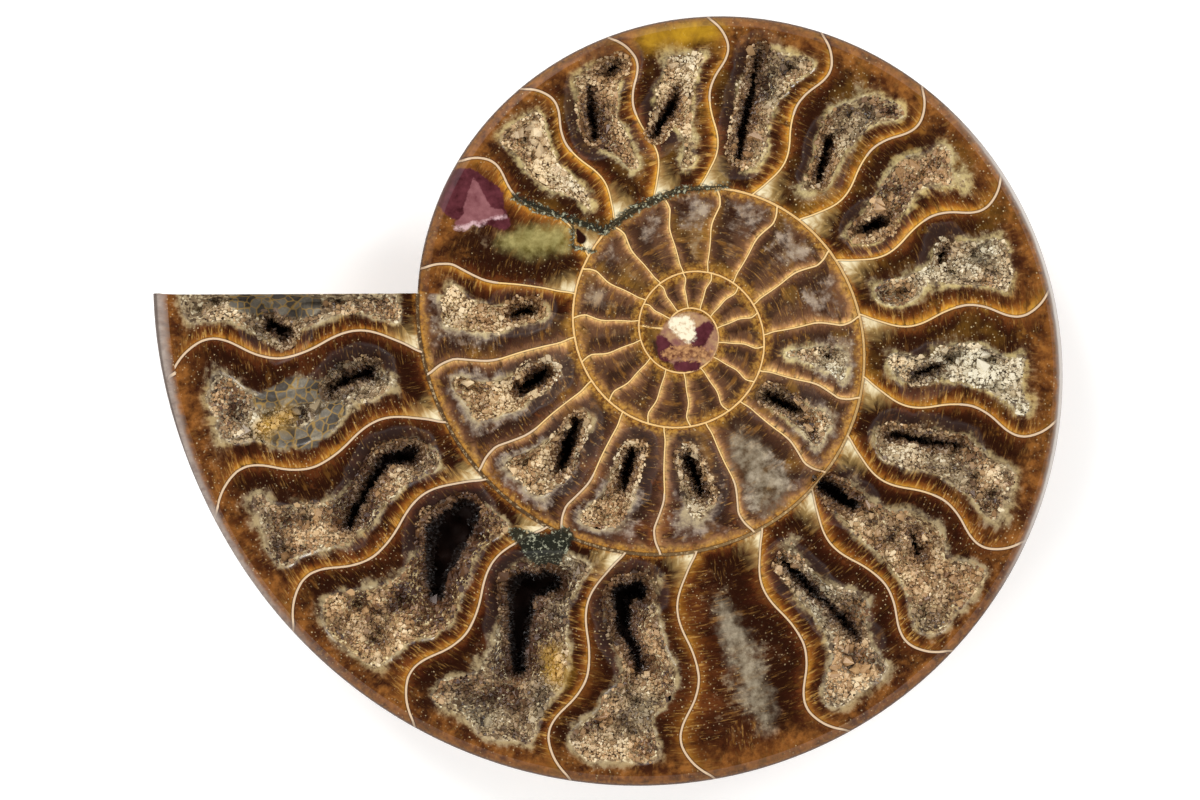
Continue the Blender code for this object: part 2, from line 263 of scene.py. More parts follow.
# Dark holes among the crystals: name, depth, and stations of x, y and half width.
HOLLOWS = (
    ("mouth_pocket", 6.0, ((-69.2, 1.6, 1.2), (-67.0, 0.1, 1.3))),
    ("first_pocket", 6.5, ((-59.2, -9.3, 0.6), (-56.3, -7.4, 1.1), (-53.0, -6.3, 1.2))),
    ("bent_slit", 7.5, ((-46.0, -20.2, 1.4), (-50.0, -21.0, 1.2), (-53.2, -25.8, 0.8),
                        (-56.2, -31.8, 0.6))),
    ("great_cave", 10.0, ((-37.2, -30.4, 2.4), (-39.6, -33.2, 3.9), (-41.2, -39.0, 2.2),
                          (-41.6, -43.0, 1.1))),
    ("hooked_cave", 9.0, ((-22.8, -41.2, 1.8), (-27.3, -42.5, 2.8), (-28.0, -48.8, 1.8),
                          (-27.9, -55.6, 0.8))),
    ("lower_cave", 8.0, ((-8.2, -42.8, 1.6), (-11.0, -43.6, 1.7), (-10.6, -48.8, 1.2),
                         (-7.6, -55.6, 0.7))),
    ("slanting_slit", 7.5, ((16.2, -37.8, 0.4), (20.6, -42.4, 0.7), (25.6, -47.4, 0.6),
                            (28.4, -50.6, 0.4))),
    ("corner_cave", 8.0, ((22.9, -25.2, 0.9), (24.8, -26.6, 1.5), (27.6, -28.6, 0.9))),
    ("short_slit", 6.0, ((37.6, -33.2, 0.4), (38.2, -35.2, 0.6), (39.0, -37.2, 0.4))),
    ("level_slit", 7.0, ((34.2, -16.8, 0.6), (38.8, -17.6, 0.7), (45.0, -18.6, 0.4))),
    ("right_slit", 6.0, ((38.0, -7.0, 0.4), (40.0, -6.2, 0.6), (42.0, -5.3, 0.4))),
    ("right_notch", 5.0, ((42.2, 11.8, 0.4), (42.9, 14.0, 0.5))),
    ("upper_pocket", 6.0, ((29.7, 17.2, 0.8), (31.0, 17.9, 1.0), (32.6, 18.5, 0.8))),
    ("upper_slit", 6.5, ((23.8, 32.4, 0.5), (23.0, 29.0, 0.6), (22.0, 25.8, 0.4))),
    ("top_slit", 7.0, ((12.0, 46.4, 0.4), (10.8, 40.4, 0.5), (9.5, 34.6, 0.7), (8.6, 29.3, 0.4))),
    ("top_gash", 6.5, ((-1.6, 39.4, 0.5), (-3.4, 36.2, 0.7), (-5.2, 33.2, 0.4))),
    ("left_gash", 6.5, ((-16.2, 40.2, 0.6), (-15.8, 36.6, 0.8), (-15.2, 32.6, 0.5))),
    ("left_dimple", 5.0, ((-13.4, 43.6, 0.7), (-11.6, 44.5, 0.7))),
    ("inner_dimple", 4.5, ((-29.4, 3.2, 0.6), (-26.0, 4.0, 0.8))),
    ("inner_pocket", 5.5, ((-27.4, -9.1, 1.0), (-25.4, -7.6, 1.4), (-23.3, -6.3, 0.9))),
    ("inner_cave", 6.0, ((-18.3, -14.9, 0.9), (-19.8, -18.4, 1.4), (-21.1, -22.4, 0.9))),
    ("inner_slit", 5.5, ((-8.9, -19.7, 0.9), (-9.9, -22.8, 1.1), (-10.6, -25.7, 0.7))),
    ("inner_gash", 5.5, ((0.4, -20.8, 1.0), (1.7, -23.8, 1.2), (2.7, -26.6, 0.8))),
    ("inner_corner", 5.0, ((13.7, -10.3, 0.7), (16.2, -11.4, 1.0), (18.5, -12.6, 0.7))),
)

# The crystals' bed: a step down at its edge, a slope inwards, lumps, and a dip round each hole.
# Near the mouth's cut it comes up to the face. No hollow goes deeper than a share of the stone.
DRUSE_SINK, BED_EDGE, BED_EDGE_FRAY, BED_EDGE_SIZE = 0.8, 0.6, 0.3, 2.4
DRUSE_SLOPE, SLOPE_END = 0.40, 4.0
DRUSE_LUMPS, DRUSE_LUMP_SIZE, LUMP_START = 1.5, 3.4, (0.2, 1.8)
HIGHEST_LUMP = 0.4
DIP_DEPTH, DIP_START = 2.0, (-3.6, -0.2)
HOLE_MARGIN, HOLE_DEPTH, HOLE_START = 1.6, 5.6, (-1.0, 0.0)
HOLE_FRAY, HOLE_FRAY_SIZE = 0.45, 2.2
MOUTH_INNER_END, MOUTH_BED = -50.0, (0.2, 1.2)
ROOM_SHARE, BED_SHARE = 0.62, 0.6

# Patches of other stone in the face, and of painted shade and highlight, each drawn as strokes of
# x, y and half width.
PATCHES = {
    "mosaic": (((-74.5, 5.4, 1.2), (-69.0, 4.4, 2.4), (-62.0, 4.6, 1.6)),
               ((-71.0, -11.6, 1.0), (-66.0, -9.8, 2.2), (-60.6, -9.4, 1.6)),
               ((-67.6, -17.4, 1.4), (-62.4, -17.2, 1.8), (-58.0, -12.6, 1.4))),
    "mud": (((-40.6, 22.4, 1.4), (-37.0, 22.9, 4.4), (-34.0, 21.6, 3.8), (-30.4, 18.2, 1.2)),
            ((1.6, -0.9, 1.7), (3.4, 0.9, 1.0)), ((-4.3, -1.0, 0.9), (-3.3, -3.2, 1.6)),
            ((-1.4, -5.4, 0.9), (1.4, -5.4, 0.9))),
    "facet": (((-35.2, 25.4, 0.3), (-34.8, 20.8, 2.3)),
              ((-38.0, 18.1, 0.5), (-34.8, 19.6, 1.7), (-30.8, 19.9, 0.6))),
    # Painted highlight: a pale edge along the facet's lower side.
    "facet_edge_highlight": (((-38.3, 17.5, 0.4), (-36.8, 17.3, 0.5), (-35.6, 18.2, 0.3), (-34.0, 18.0, 0.5),
                    (-32.6, 18.8, 0.3), (-30.2, 19.3, 0.4)),),
    "matrix": (((-28.4, -33.0, 1.0), (-23.4, -36.4, 3.0), (-20.2, -33.6, 1.6)),
               ((-28.6, 22.6, 0.6), (-24.6, 20.6, 0.8), (-20.7, 19.3, 0.6), (-13.4, 16.9, 0.7)),
               ((-13.8, 16.9, 0.8), (-8.3, 20.8, 0.8), (-1.7, 23.5, 0.7), (7.1, 24.4, 0.35)),
               ((-18.9, 18.6, 0.4), (-18.9, 14.2, 0.3), (-15.4, 13.6, 0.4))),
    # Painted shade: a small pit, not sunk in the mesh, painted near black.
    "pit": (((-18.2, 17.2, 0.2), (-17.5, 15.6, 0.9)),),
    "green": (((-30.4, 15.0, 0.8), (-26.0, 15.2, 2.6), (-21.0, 15.4, 2.0)),),
    "yellow": (((-70.0, -15.6, 1.4), (-66.0, -13.6, 1.0)), ((-6.0, 48.6, 1.4), (3.6, 50.4, 1.6)),
               ((-22.6, -53.4, 1.6), (-21.6, -56.4, 1.4))),
    "veil": (((5.6, -45.0, 1.0), (8.6, -52.0, 2.4), (11.6, -60.0, 2.2), (13.0, -65.0, 1.2)),
             ((8.4, -17.8, 1.6), (10.6, -21.5, 3.2), (13.5, -25.0, 3.2), (12.4, -27.4, 2.2)),
             ((25.6, -55.6, 1.6), (27.4, -57.6, 1.6))),
    "core": (((-1.9, 1.4, 1.2), (-0.6, 1.0, 1.9), (0.2, -0.2, 1.3)),),
    "disc": (((0.1, -1.2, 4.6), (0.5, -1.2, 4.6)),),
    # Painted shade: strokes round the dark holes, where the crystals are painted darker and browner.
    "stain_and_hole_shade": (((-34.6, -33.6, 2.0), (-40.0, -40.0, 4.6), (-46.6, -44.6, 2.6)),
              ((-28.0, -42.0, 3.6), (-27.6, -54.0, 1.8)), ((-11.0, -43.6, 3.2), (-8.4, -54.0, 1.4)),
              ((22.9, -25.2, 1.6), (26.0, -28.0, 1.2)), ((-55.0, -28.6, 1.2), (-52.0, -23.0, 2.2)),
              ((11.6, 43.0, 1.2), (9.0, 30.0, 1.2)), ((-15.6, 38.0, 1.6), (-13.0, 29.0, 1.2))),
    "blocks": (((-27.5, 34.5, 2.2), (-20.5, 27.0, 2.2)), ((43.0, 29.0, 2.2), (45.0, 27.0, 1.6)),
               ((25.4, -52.0, 1.4), (27.4, -57.4, 2.0)), ((47.6, -1.0, 1.6), (45.0, 2.4, 1.6))),
    "crumbs": (((-3.0, -3.4, 1.0), (0.6, -3.2, 1.3), (3.2, -3.6, 1.0)),),
}

# The strip: columns in a turn and rows across each whorl. The noise repeats after so many cells.
STEPS_PER_TURN = 600
ROWS = (64, 32, 16)
LATTICE = 256
SWEEP_STEPS, FLANK_STEPS = 201, 401
SLOPE_TURN, SLOPE_RISE = 0.05, 0.004


def smooth_step(low_value, high_value, x):
    """Zero below the low value, one above the high one, and a smooth cubic between them."""
    t = np.clip((x - low_value) / (high_value - low_value), 0.0, 1.0)
    return t * t * (3.0 - 2.0 * t)


def uneven(x, y, size, seed):
    """Natural unevenness at plan points, from about -1 to 1.

    The sum of three square lattices of random heights, joined by smooth steps: one of this size,
    then a half and a quarter of it, with weights 1, 0.5 and 0.25.
    """
    height = 0.0
    for octave in range(3):
        lattice = np.random.default_rng(seed + octave).uniform(-1.0, 1.0, (LATTICE, LATTICE))
        u, v = (np.asarray(a, float) * 2 ** octave / size for a in (x, y))
        i, j = np.floor(u).astype(int), np.floor(v).astype(int)
        s, t = smooth_step(0.0, 1.0, u - i), smooth_step(0.0, 1.0, v - j)
        here, ahead = i % LATTICE, (i + 1) % LATTICE
        low_row, high_row = (
            lattice[here, row % LATTICE] * (1 - s) + lattice[ahead, row % LATTICE] * s
            for row in (j, j + 1))
        height = height + 0.5 ** octave * (low_row * (1 - t) + high_row * t)
    return height


def rim_radius(turn):
    """Radius of the whorl's outer wall: a smooth cubic through the logs of the quarter radii."""
    steps = np.asarray(turn, float) / QUARTER + 1.0
    first = np.clip(np.floor(steps), 1, len(RIM_RADII) - 3).astype(int)
    part = steps - first
    logs = np.log(RIM_RADII)
    before, start, end, after = (logs[first + k] for k in (-1, 0, 1, 2))
    return np.exp(
        start * (1 + 2 * part) * (1 - part) ** 2 + (end - before) / 2 * part * (1 - part) ** 2
        + end * part ** 2 * (3 - 2 * part) + (after - start) / 2 * part ** 2 * (part - 1)
    )


def height_share(radius, turn):
    """Share of the whorl's height at a radius: zero at its inner wall, one at its outer wall."""
    inner = rim_radius(turn + WHOLE)
    return (radius - inner) / (rim_radius(turn) - inner)


def on_plan(radius, turn):
    """Plan position from the coil's axis."""
    angle = np.radians(180.0 + turn)
    return radius * np.cos(angle), radius * np.sin(angle)


def first_turn(x, y):
    """Turn of plan points from their direction, within one turn from the mouth."""
    turn = np.degrees(np.arctan2(y, x)) - 180.0
    return np.where(turn < MOUTH_TURN, turn + WHOLE, turn)


def softened(line, width):
    """A line with its corners rounded off: each value is the mean of this many neighbours."""
    padded = np.pad(line, width // 2, mode="edge")
    return np.convolve(padded, np.full(width, 1 / width), mode="valid")


def sweep(table, height):
    """Degrees that a chamber wall leads its middle at a height share, rounded off a little."""
    fine = np.linspace(0.0, 1.0, SWEEP_STEPS)
    return np.interp(height, fine, softened(np.interp(fine, *table.T), SWEEP_SOFT))


def chamber_count(turn, height):
    """Chambers passed from the mouth: whole numbers are the chamber walls.

    The turn, less the sweep at this height share, read between the walls' turns.
    """
    inner = smooth_step(LAST_OUTER_SEPTUM, FIRST_INNER_SEPTUM, turn)
    lead = sweep(OUTER_SWEEP, height) * (1 - inner) + sweep(INNER_SWEEP, height) * inner
    even = turn - lead
    first = SEPTUM_TURNS[0]
    gap = SEPTUM_TURNS[1] - first
    count = np.interp(even, SEPTUM_TURNS, np.arange(1, len(SEPTUM_TURNS) + 1))
    return np.where(even < first, 1.0 + (even - first) / gap, count)


def coil_fields(turn, height):
    """Growth values at points of the strip, as arrays of one shape, in millimetres.

    The count's slope over the face turns a share of a chamber into a distance from its wall. The
    lining grows from the chamber's four walls, so its share of full thickness is the lesser of
    the shares by the whorl's walls and by the chamber walls, with its corners rounded.
    count: chambers passed. pitch: a chamber's width here. wall, rise: distance from the nearer
    and from the inner whorl wall. ray: length along the whorl. grown: share of the lining's
    thickness. druse: distance into the crystals. rim: distance from the outer rim. girth: the
    nearer whorl wall's radius. last: one in the last whorl.
    """
    outer = rim_radius(turn)
    inner = rim_radius(turn + WHOLE)
    tall = outer - inner
    radius = inner + height * tall
    in_last = turn < WHOLE + MOUTH_TURN
    count = chamber_count(turn, height)
    by_turn = (chamber_count(turn + SLOPE_TURN, height)
               - chamber_count(turn - SLOPE_TURN, height)) / SLOPE_TURN / 2
    by_rise = (chamber_count(turn, np.clip(height + SLOPE_RISE, 0, 1))
               - chamber_count(turn, np.clip(height - SLOPE_RISE, 0, 1))) / (2 * SLOPE_RISE)
    slope = np.hypot(np.degrees(by_turn) / radius, by_rise / tall)
    pitch = 1.0 / np.maximum(slope, 1e-4)
    to_wall = np.minimum(height, 1.0 - height) * tall
    part = count - np.floor(count)
    to_septum = np.minimum(part, 1.0 - part) * pitch

    chamber = np.clip(np.floor(count), 0, len(LININGS) - 1).astype(int)
    thick = LININGS[chamber]
    faces_mouth = smooth_step(*AMBER_TURNS_ROUND, count)
    near_side = smooth_step(*SIDE_CHANGE, part)
    dark = faces_mouth * (1.0 - near_side) + (1.0 - faces_mouth) * near_side
    by_septum = to_septum / (thick * (1.0 + DARK_SIDE * dark))
    wall_share = INNER_WALL_SHARE + (OUTER_WALL_SHARE - INNER_WALL_SHARE) * smooth_step(
        *SHARE_CHANGE, height) * in_last
    by_wall = to_wall * wall_share / thick
    blend = np.clip(0.5 + (by_wall - by_septum) / CORNER_BLEND, 0.0, 1.0)
    grown = (by_wall * (1 - blend) + by_septum * blend
             - CORNER_ROUND * blend * (1 - blend))
    swell = uneven(*on_plan(radius, turn), LINING_SWELL_SIZE, LINING_SEED)
    grown = grown * (1.0 + LINING_SWELL * swell)
    hollow = ~np.isin(chamber, NO_CRYSTALS) & (chamber <= LAST_CRYSTALS)
    filled = FULL_GROWTH * (1.0 - np.exp(-FULL_RATE * grown))
    grown = np.where(hollow, grown, filled)

    right_start, right_end = RIGHT_BAND
    band = np.maximum(smooth_step(*LEFT_BAND, turn),
                      smooth_step(*right_start, turn) * smooth_step(*right_end, turn))
    rim = np.where(in_last, outer - radius, NO_RIM)
    return {
        "count": count,
        "pitch": pitch,
        "wall": to_wall,
        "rise": height * tall,
        "ray": np.radians(turn) * (outer * RAY_SHARE),
        "grown": grown,
        "druse": np.where(hollow, (grown - 1.0) * thick, NO_DRUSE),
        "grey": GREYNESS[chamber],
        "pale": PALENESS[chamber],
        "rim": rim,
        "band": np.where(rim < NO_RIM, band, 0.0),
        "girth": np.where(height > 0.5, outer, inner),
        "last": np.where(in_last, 1.0, 0.0),
    }


def half_thickness(turn):
    """Half thickness of the whorl: a power of its rim radius."""
    return MOUTH_HALF_THICKNESS * (rim_radius(turn) / rim_radius(0.0)) ** THICKNESS_GROWTH


def flank_depth(share, turn):
    """Depth under the cut face: the profile times the half thickness, less low, bowed ribs."""
    fine = np.linspace(0.0, 1.0, FLANK_STEPS)
    profile = np.interp(fine, *FLANK.T)
    profile = np.where(fine > SHARP_RIM, profile, softened(profile, FLANK_SOFT))
    bow = RIB_BOW * np.sin((share - 0.2) * 4.2)
    rib = 0.5 + 0.5 * np.cos((turn + bow) * math.tau / RIB_GAP)
    strength = RIB_DEPTH * smooth_step(*RIB_START, share) * smooth_step(*RIB_END, share)
    deep = half_thickness(turn) * np.interp(share, fine, profile) - strength * rib
    return np.minimum(deep, GROUND_LEVEL)


def room(x, y):
    """Greatest depth that a hollow may have: a share of the shell's thickness at plan points."""
    turn = first_turn(x, y)
    share = np.clip(np.hypot(x, y) / rim_radius(turn), 0.0, 1.0)
    return ROOM_SHARE * flank_depth(share, turn)


def stroke_distance(x, y, stations):
    """Distance inside (above zero) or outside a stroke: half width less distance to its line."""
    best = np.full(np.shape(x), -1e3)
    for (x0, y0, w0), (x1, y1, w1) in zip(stations, stations[1:]):
        dx, dy = x1 - x0, y1 - y0
        t = np.clip(((x - x0) * dx + (y - y0) * dy) / (dx * dx + dy * dy), 0.0, 1.0)
        away = np.hypot(x - x0 - t * dx, y - y0 - t * dy)
        best = np.maximum(best, w0 + t * (w1 - w0) - away)
    return best


def patch_distance(x, y, strokes):
    """The nearest of several strokes."""
    return np.max([stroke_distance(x, y, stroke) for stroke in strokes], axis=0)


def hole_distance(x, y):
    """Distance into the nearest dark hole, whose outline is uneven."""
    smooth = patch_distance(x, y, [stations for _, _, stations in HOLLOWS])
    return smooth + HOLE_FRAY * uneven(x, y, HOLE_FRAY_SIZE, HOLE_EDGE_SEED)


def druse_depth(x, y, druse, hole):
    """Depth of the crystals' bed: a step at its edge, a lumpy slope inwards, and a dip at holes."""
    inside = np.maximum(druse, hole + HOLE_MARGIN)
    frayed = inside + BED_EDGE_FRAY * uneven(x, y, BED_EDGE_SIZE, BED_EDGE_SEED)
    step = DRUSE_SINK * smooth_step(0.0, BED_EDGE, frayed)
    slope = DRUSE_SLOPE * np.clip(inside, 0.0, SLOPE_END)
    lumps = DRUSE_LUMPS * smooth_step(*LUMP_START, inside) * uneven(
        x, y, DRUSE_LUMP_SIZE, BED_LUMP_SEED)
    deep = np.maximum(step + slope + lumps, HIGHEST_LUMP * step)
    deep = deep + DIP_DEPTH * smooth_step(*DIP_START, hole)
    at_mouth = np.where(x < MOUTH_INNER_END, smooth_step(*MOUTH_BED, MOUTH_HEIGHT - y), 1.0)
    return np.minimum(deep * at_mouth, BED_SHARE * room(x, y))


def face_depth(x, y, druse, hole):
    """How far the face is sunk: under the crystals a little, and in a hole out of sight."""
    deep = druse_depth(x, y, druse, hole) + HOLE_DEPTH * smooth_step(*HOLE_START, hole)
    return np.minimum(deep, room(x, y))


# The mesh is gathered in lists: places of points, faces with their material slots, and the growth
# values at each corner of each face, because a point where two whorls meet has two of each.
FACE_SLOT, FLANK_SLOT, MOUTH_SLOT = 0, 1, 2
CORNER_NAMES = ("count", "pitch", "wall", "rise", "ray", "grown", "druse", "grey", "rim", "band",
                "girth", "last")
vertex_x, vertex_y, vertex_z = [], [], []
face_lists, face_slots, corner_values = [], [], []


def new_points(x, y, z):
    """Adds points and returns their numbers."""
    first = sum(map(len, vertex_x))
    x, y, z = (np.asarray(a, float).ravel() for a in np.broadcast_arrays(x, y, z))
    vertex_x.append(x)
    vertex_y.append(y)
    vertex_z.append(z)
    return np.arange(first, first + len(x))


def add_faces(corners, values, slot):
    """Adds faces of equal corner number: point numbers and growth values at each corner."""
    face_lists.extend(corners.tolist())
    face_slots.append(np.full(len(corners), slot))
    corner_values.append(np.stack([values[name].ravel() for name in CORNER_NAMES], axis=1))


def corner_ring(grid, columns, rows):
    """The four corners of each cell of a grid, anticlockwise seen from above."""
    a, b = columns, rows
    return np.stack([grid[a, b], grid[a, b + 1], grid[a + 1, b + 1], grid[a + 1, b]], axis=-1)


def half_ring(grid, column, rows):
    """Five corners of a cell that ends a whorl: two short edges here, one long edge ahead."""
    return np.stack([grid[column, rows], grid[column, rows + 1], grid[column, rows + 2],
                     grid[column + 1, rows + 2], grid[column + 1, rows]], axis=-1)


# The cut face: a strip for each whorl, from the mouth inwards. A whorl has half as many rows as
# the one before, so its first column takes every other point of that one's last column, and its
# outer row is that one's inner row. The first whorl's first column is the mouth's level cut, and
# its outer wall ends, a turn later, where that cut begins at the inner wall.
NOT_MADE, LEFT_OUT = -1, -2
WALL_BARE = (0.05, 0.5)
mouth_shift_end = MOUTH_TURN + MOUTH_FADE
grids = []
for whorl, rows in enumerate(ROWS):
    last = whorl == len(ROWS) - 1
    step = np.arange(STEPS_PER_TURN + 1)
    turn = (MOUTH_TURN + WHOLE * whorl + step * WHOLE / STEPS_PER_TURN)[:, None]
    height = np.linspace(0.0, 1.0, rows + 1)[None, :]
    turn, height = np.broadcast_arrays(turn, height)
    radius = rim_radius(turn + WHOLE) * (1 - height) + rim_radius(turn) * height
    if whorl == 0:
        level_turn = -np.degrees(np.arcsin(MOUTH_HEIGHT / radius[0]))
        fade = 1.0 - smooth_step(MOUTH_TURN, mouth_shift_end, turn[:, :1])
        turn = turn + (level_turn - MOUTH_TURN)[None, :] * fade
        edge = EDGE_ROUND * smooth_step(0.0, EDGE_FADE, WHOLE + MOUTH_TURN - turn)
        radius = rim_radius(turn + WHOLE) * (1 - height) + (rim_radius(turn) - edge) * height
        radius[:, 0] = rim_radius(turn[:, 0] + WHOLE)
    x, y = on_plan(radius, turn)
    values = coil_fields(turn, np.clip(height_share(radius, turn), 0.0, 1.0))
    sunk = face_depth(x, y, values["druse"], hole_distance(x, y))
    sunk = sunk * smooth_step(*WALL_BARE, values["wall"])

    grid = np.full((STEPS_PER_TURN + 1, rows + 1), NOT_MADE)
    if whorl > 0:
        grid[:, rows] = grids[-1][:, 0]
        grid[0, :] = grids[-1][STEPS_PER_TURN, ::2]
    if not last:
        grid[STEPS_PER_TURN, 1::2] = LEFT_OUT
    fresh = grid == NOT_MADE
    if whorl == 0:
        fresh[STEPS_PER_TURN, rows] = False
    grid[fresh] = new_points(x[fresh], y[fresh], -sunk[fresh])
    if whorl == 0:
        grid[STEPS_PER_TURN, rows] = grid[0, 0]

    end = STEPS_PER_TURN if last else STEPS_PER_TURN - 1
    columns, cells = np.meshgrid(np.arange(end), np.arange(rows), indexing="ij")
    corners = corner_ring(grid, columns, cells).reshape(-1, 4)
    add_faces(corners, {k: corner_ring(v, columns, cells) for k, v in values.items()}, FACE_SLOT)
    if not last:
        pair = np.arange(0, rows, 2)
        at_corners = {k: half_ring(v, end, pair) for k, v in values.items()}
        add_faces(half_ring(grid, end, pair), at_corners, FACE_SLOT)
    grids.append(grid)

# The middle of the coil, inside the innermost whorl wall: rings drawn in to one point.
DISC_MIDDLE = (0.0, -1.2)
DISC_RINGS = (0.86, 0.72, 0.58, 0.44, 0.30, 0.15)
DISC_SINK = 0.05
inmost = grids[-1]
ring = np.concatenate([inmost[:-1, 0], inmost[-1, :-1]])
all_x, all_y = np.concatenate(vertex_x), np.concatenate(vertex_y)
ring_x, ring_y = all_x[ring], all_y[ring]


def plain_values(shape, **special):
    """Growth values for face corners away from the chambers."""
    base = {"count": 0.5, "pitch": 40.0, "wall": 3.0, "rise": 0.0, "ray": 0.0, "grown": 0.5,
            "druse": NO_DRUSE, "grey": 0.5, "rim": NO_RIM, "band": 0.0, "girth": 10.0, "last": 0.0}
    base.update(special)
    return {name: np.broadcast_to(np.asarray(v, float), shape) for name, v in base.items()}


previous, previous_wall = ring, np.zeros(len(ring))
for share in DISC_RINGS:
    x = DISC_MIDDLE[0] + (ring_x - DISC_MIDDLE[0]) * share
    y = DISC_MIDDLE[1] + (ring_y - DISC_MIDDLE[1]) * share
    numbers = new_points(x, y, -DISC_SINK)
    wall = np.hypot(ring_x - x, ring_y - y)
    quads, walls = (
        np.stack([outside, np.roll(outside, -1), np.roll(within, -1), within], axis=-1)
        for outside, within in ((previous, numbers), (previous_wall, wall)))
    add_faces(quads, plain_values(quads.shape, wall=walls), FACE_SLOT)
    previous, previous_wall = numbers, wall
middle = new_points(*DISC_MIDDLE, -DISC_SINK)[0]
tips = np.stack([previous, np.roll(previous, -1), np.full(len(previous), middle)], axis=-1)
add_faces(tips, plain_values(tips.shape, wall=4.0), FACE_SLOT)


# The rounded rim and the domed flank, down to the navel, whose seam is the line where the whorl
# before goes under this one. The back was ground level where the half rests.
EDGE_RINGS = 5
FLANK_SHARES = np.concatenate([np.linspace(0.995, 0.90, 7), np.linspace(0.88, 0.40, 17)])
NAVEL_SHARES = np.array((0.370, 0.340, 0.310, 0.280, 0.258, 0.235, 0.215))
step = np.arange(STEPS_PER_TURN + 1)
turns = MOUTH_TURN + step * WHOLE / STEPS_PER_TURN
rim_now = rim_radius(turns)
edge_now = EDGE_ROUND * smooth_step(0.0, EDGE_FADE, WHOLE + MOUTH_TURN - turns)
shift_fade = 1.0 - smooth_step(MOUTH_TURN, mouth_shift_end, turns)
wall_at_mouth = rim_radius(MOUTH_TURN + WHOLE)


def shifted(radius):
    """Turn of a column at a radius: near the mouth it leans over to the straight cut."""
    level = -np.degrees(np.arcsin(np.clip(MOUTH_HEIGHT / radius, -1.0, 1.0)))
    lean = np.where(radius > wall_at_mouth, level - MOUTH_TURN, 0.0)
    return turns + lean * shift_fade


def between(upper, lower):
    """Values of two rows at the four corners of each cell between them, seen from outside."""
    return np.stack([upper[:-1], lower[:-1], lower[1:], upper[1:]], axis=-1)


def add_strip(upper, lower, values, slot):
    """Adds the faces between two rows of points. A cell with two corners in one is a triangle."""
    quads = between(upper, lower)
    whole = np.array([len(set(cell)) == 4 for cell in quads.tolist()])
    add_faces(quads[whole], {n: v[whole] for n, v in values.items()}, slot)
    narrow = np.nonzero(~whole)[0]
    three = np.array([list(dict.fromkeys(quads[cell].tolist())) for cell in narrow])
    if three.ndim == 2 and three.shape[1] == 3:
        add_faces(three, {n: v[narrow][:, :3] for n, v in values.items()}, slot)


flank_rows = [grids[0][:, -1]]
row_radii = [rim_now - edge_now]
for k in range(1, EDGE_RINGS + 1):
    bend = math.radians(90.0 * k / EDGE_RINGS)
    radius = rim_now - edge_now * (1 - math.sin(bend))
    x, y = on_plan(radius, shifted(radius))
    numbers = new_points(x[:-1], y[:-1], -(edge_now * (1 - math.cos(bend)))[:-1])
    flank_rows.append(np.append(numbers, grids[0][0, 0]))
    row_radii.append(radius)
edge_rows = len(flank_rows)
for share in FLANK_SHARES:
    radius = rim_now * share
    leaned = shifted(radius)
    x, y = on_plan(radius, leaned)
    depth = np.maximum(flank_depth(share, leaned), edge_now)
    flank_rows.append(new_points(x, y, -depth))
    row_radii.append(radius)
for number, (upper, lower) in enumerate(zip(flank_rows, flank_rows[1:])):
    high_radius, low_radius = row_radii[number], row_radii[number + 1]
    around = between(shifted(high_radius), shifted(low_radius))
    share = np.clip(height_share(between(high_radius, low_radius), around), 0.0, 1.0)
    slot = FACE_SLOT if number < edge_rows - 1 else FLANK_SLOT
    add_strip(upper, lower, coil_fields(around, share), slot)

# The navel: this whorl's inner slope goes down to the seam with the whorl before, then that one's
# goes on down to the hub, which is closed by one point. The mouth is a single flat face.

seam_two = turns + WHOLE
second_rows = []
for share in (FLANK_SHARES[-1], *NAVEL_SHARES):
    x, y = on_plan(rim_radius(seam_two) * share, seam_two)
    z = -flank_depth(share, seam_two)
    second_rows.append(new_points(x[1:], y[1:], z[1:]))
first_rows = []
for share in NAVEL_SHARES:
    x, y = on_plan(rim_now * share, turns)
    first_rows.append(new_points(x, y, -flank_depth(share, turns)))
outer_seam = np.append(flank_rows[-1][-1:], second_rows[0])
first_strip = np.array([flank_rows[-1], *first_rows, outer_seam])
second_start = first_strip[1:-1, -1]
second_strip = np.array([outer_seam] + [
    np.append(start, row) for start, row in zip(second_start, second_rows[1:])])
hub_radius = rim_radius(seam_two + WHOLE) * FLANK_SHARES[-1]
x, y = on_plan(hub_radius, seam_two)
hub = new_points(x[1:], y[1:], -flank_depth(FLANK_SHARES[-1], seam_two[1:] + WHOLE))
hub = np.append(outer_seam[-1:], hub)
second_strip = np.vstack([second_strip, hub])
for strip, strip_turns in ((first_strip, turns), (second_strip, seam_two)):
    around = between(strip_turns, strip_turns)
    ray = np.radians(around) * rim_radius(around)
    count = chamber_count(around, np.zeros(around.shape))
    values = plain_values(around.shape, rim=0.0, ray=ray, count=count)
    for upper, lower in zip(strip, strip[1:]):
        add_strip(upper, lower, values, FLANK_SLOT)
hub_loop = np.concatenate([second_strip[-1], second_strip[1:-1, -1][::-1]])
hub_middle = new_points(0.0, 0.0, -NAVEL_DEPTH)[0]
hub_tips = np.stack([np.roll(hub_loop, -1), hub_loop, np.full(len(hub_loop), hub_middle)], axis=-1)
add_faces(hub_tips, plain_values(hub_tips.shape, rim=0.0), FLANK_SLOT)
mouth_loop = np.concatenate([
    grids[0][0, :], np.array([row[0] for row in flank_rows[1:]]),
    first_strip[1:, 0],
    np.array([row[-1] for row in flank_rows[edge_rows:]])[::-1][1:],
])
add_faces(mouth_loop[None, ::-1], plain_values(mouth_loop.shape, rim=0.0), MOUTH_SLOT)


# The face turns golden towards the photograph's upper right, on lines that slant this much.
NORTH_SLANT = 0.4


def to_frame(x, y, z):
    """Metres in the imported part's frame, from millimetres at the coil's axis and cut face."""
    return np.stack([(x + AXIS[0]) * MM, (y + AXIS[1]) * MM, cut_level + z * MM], axis=-1)


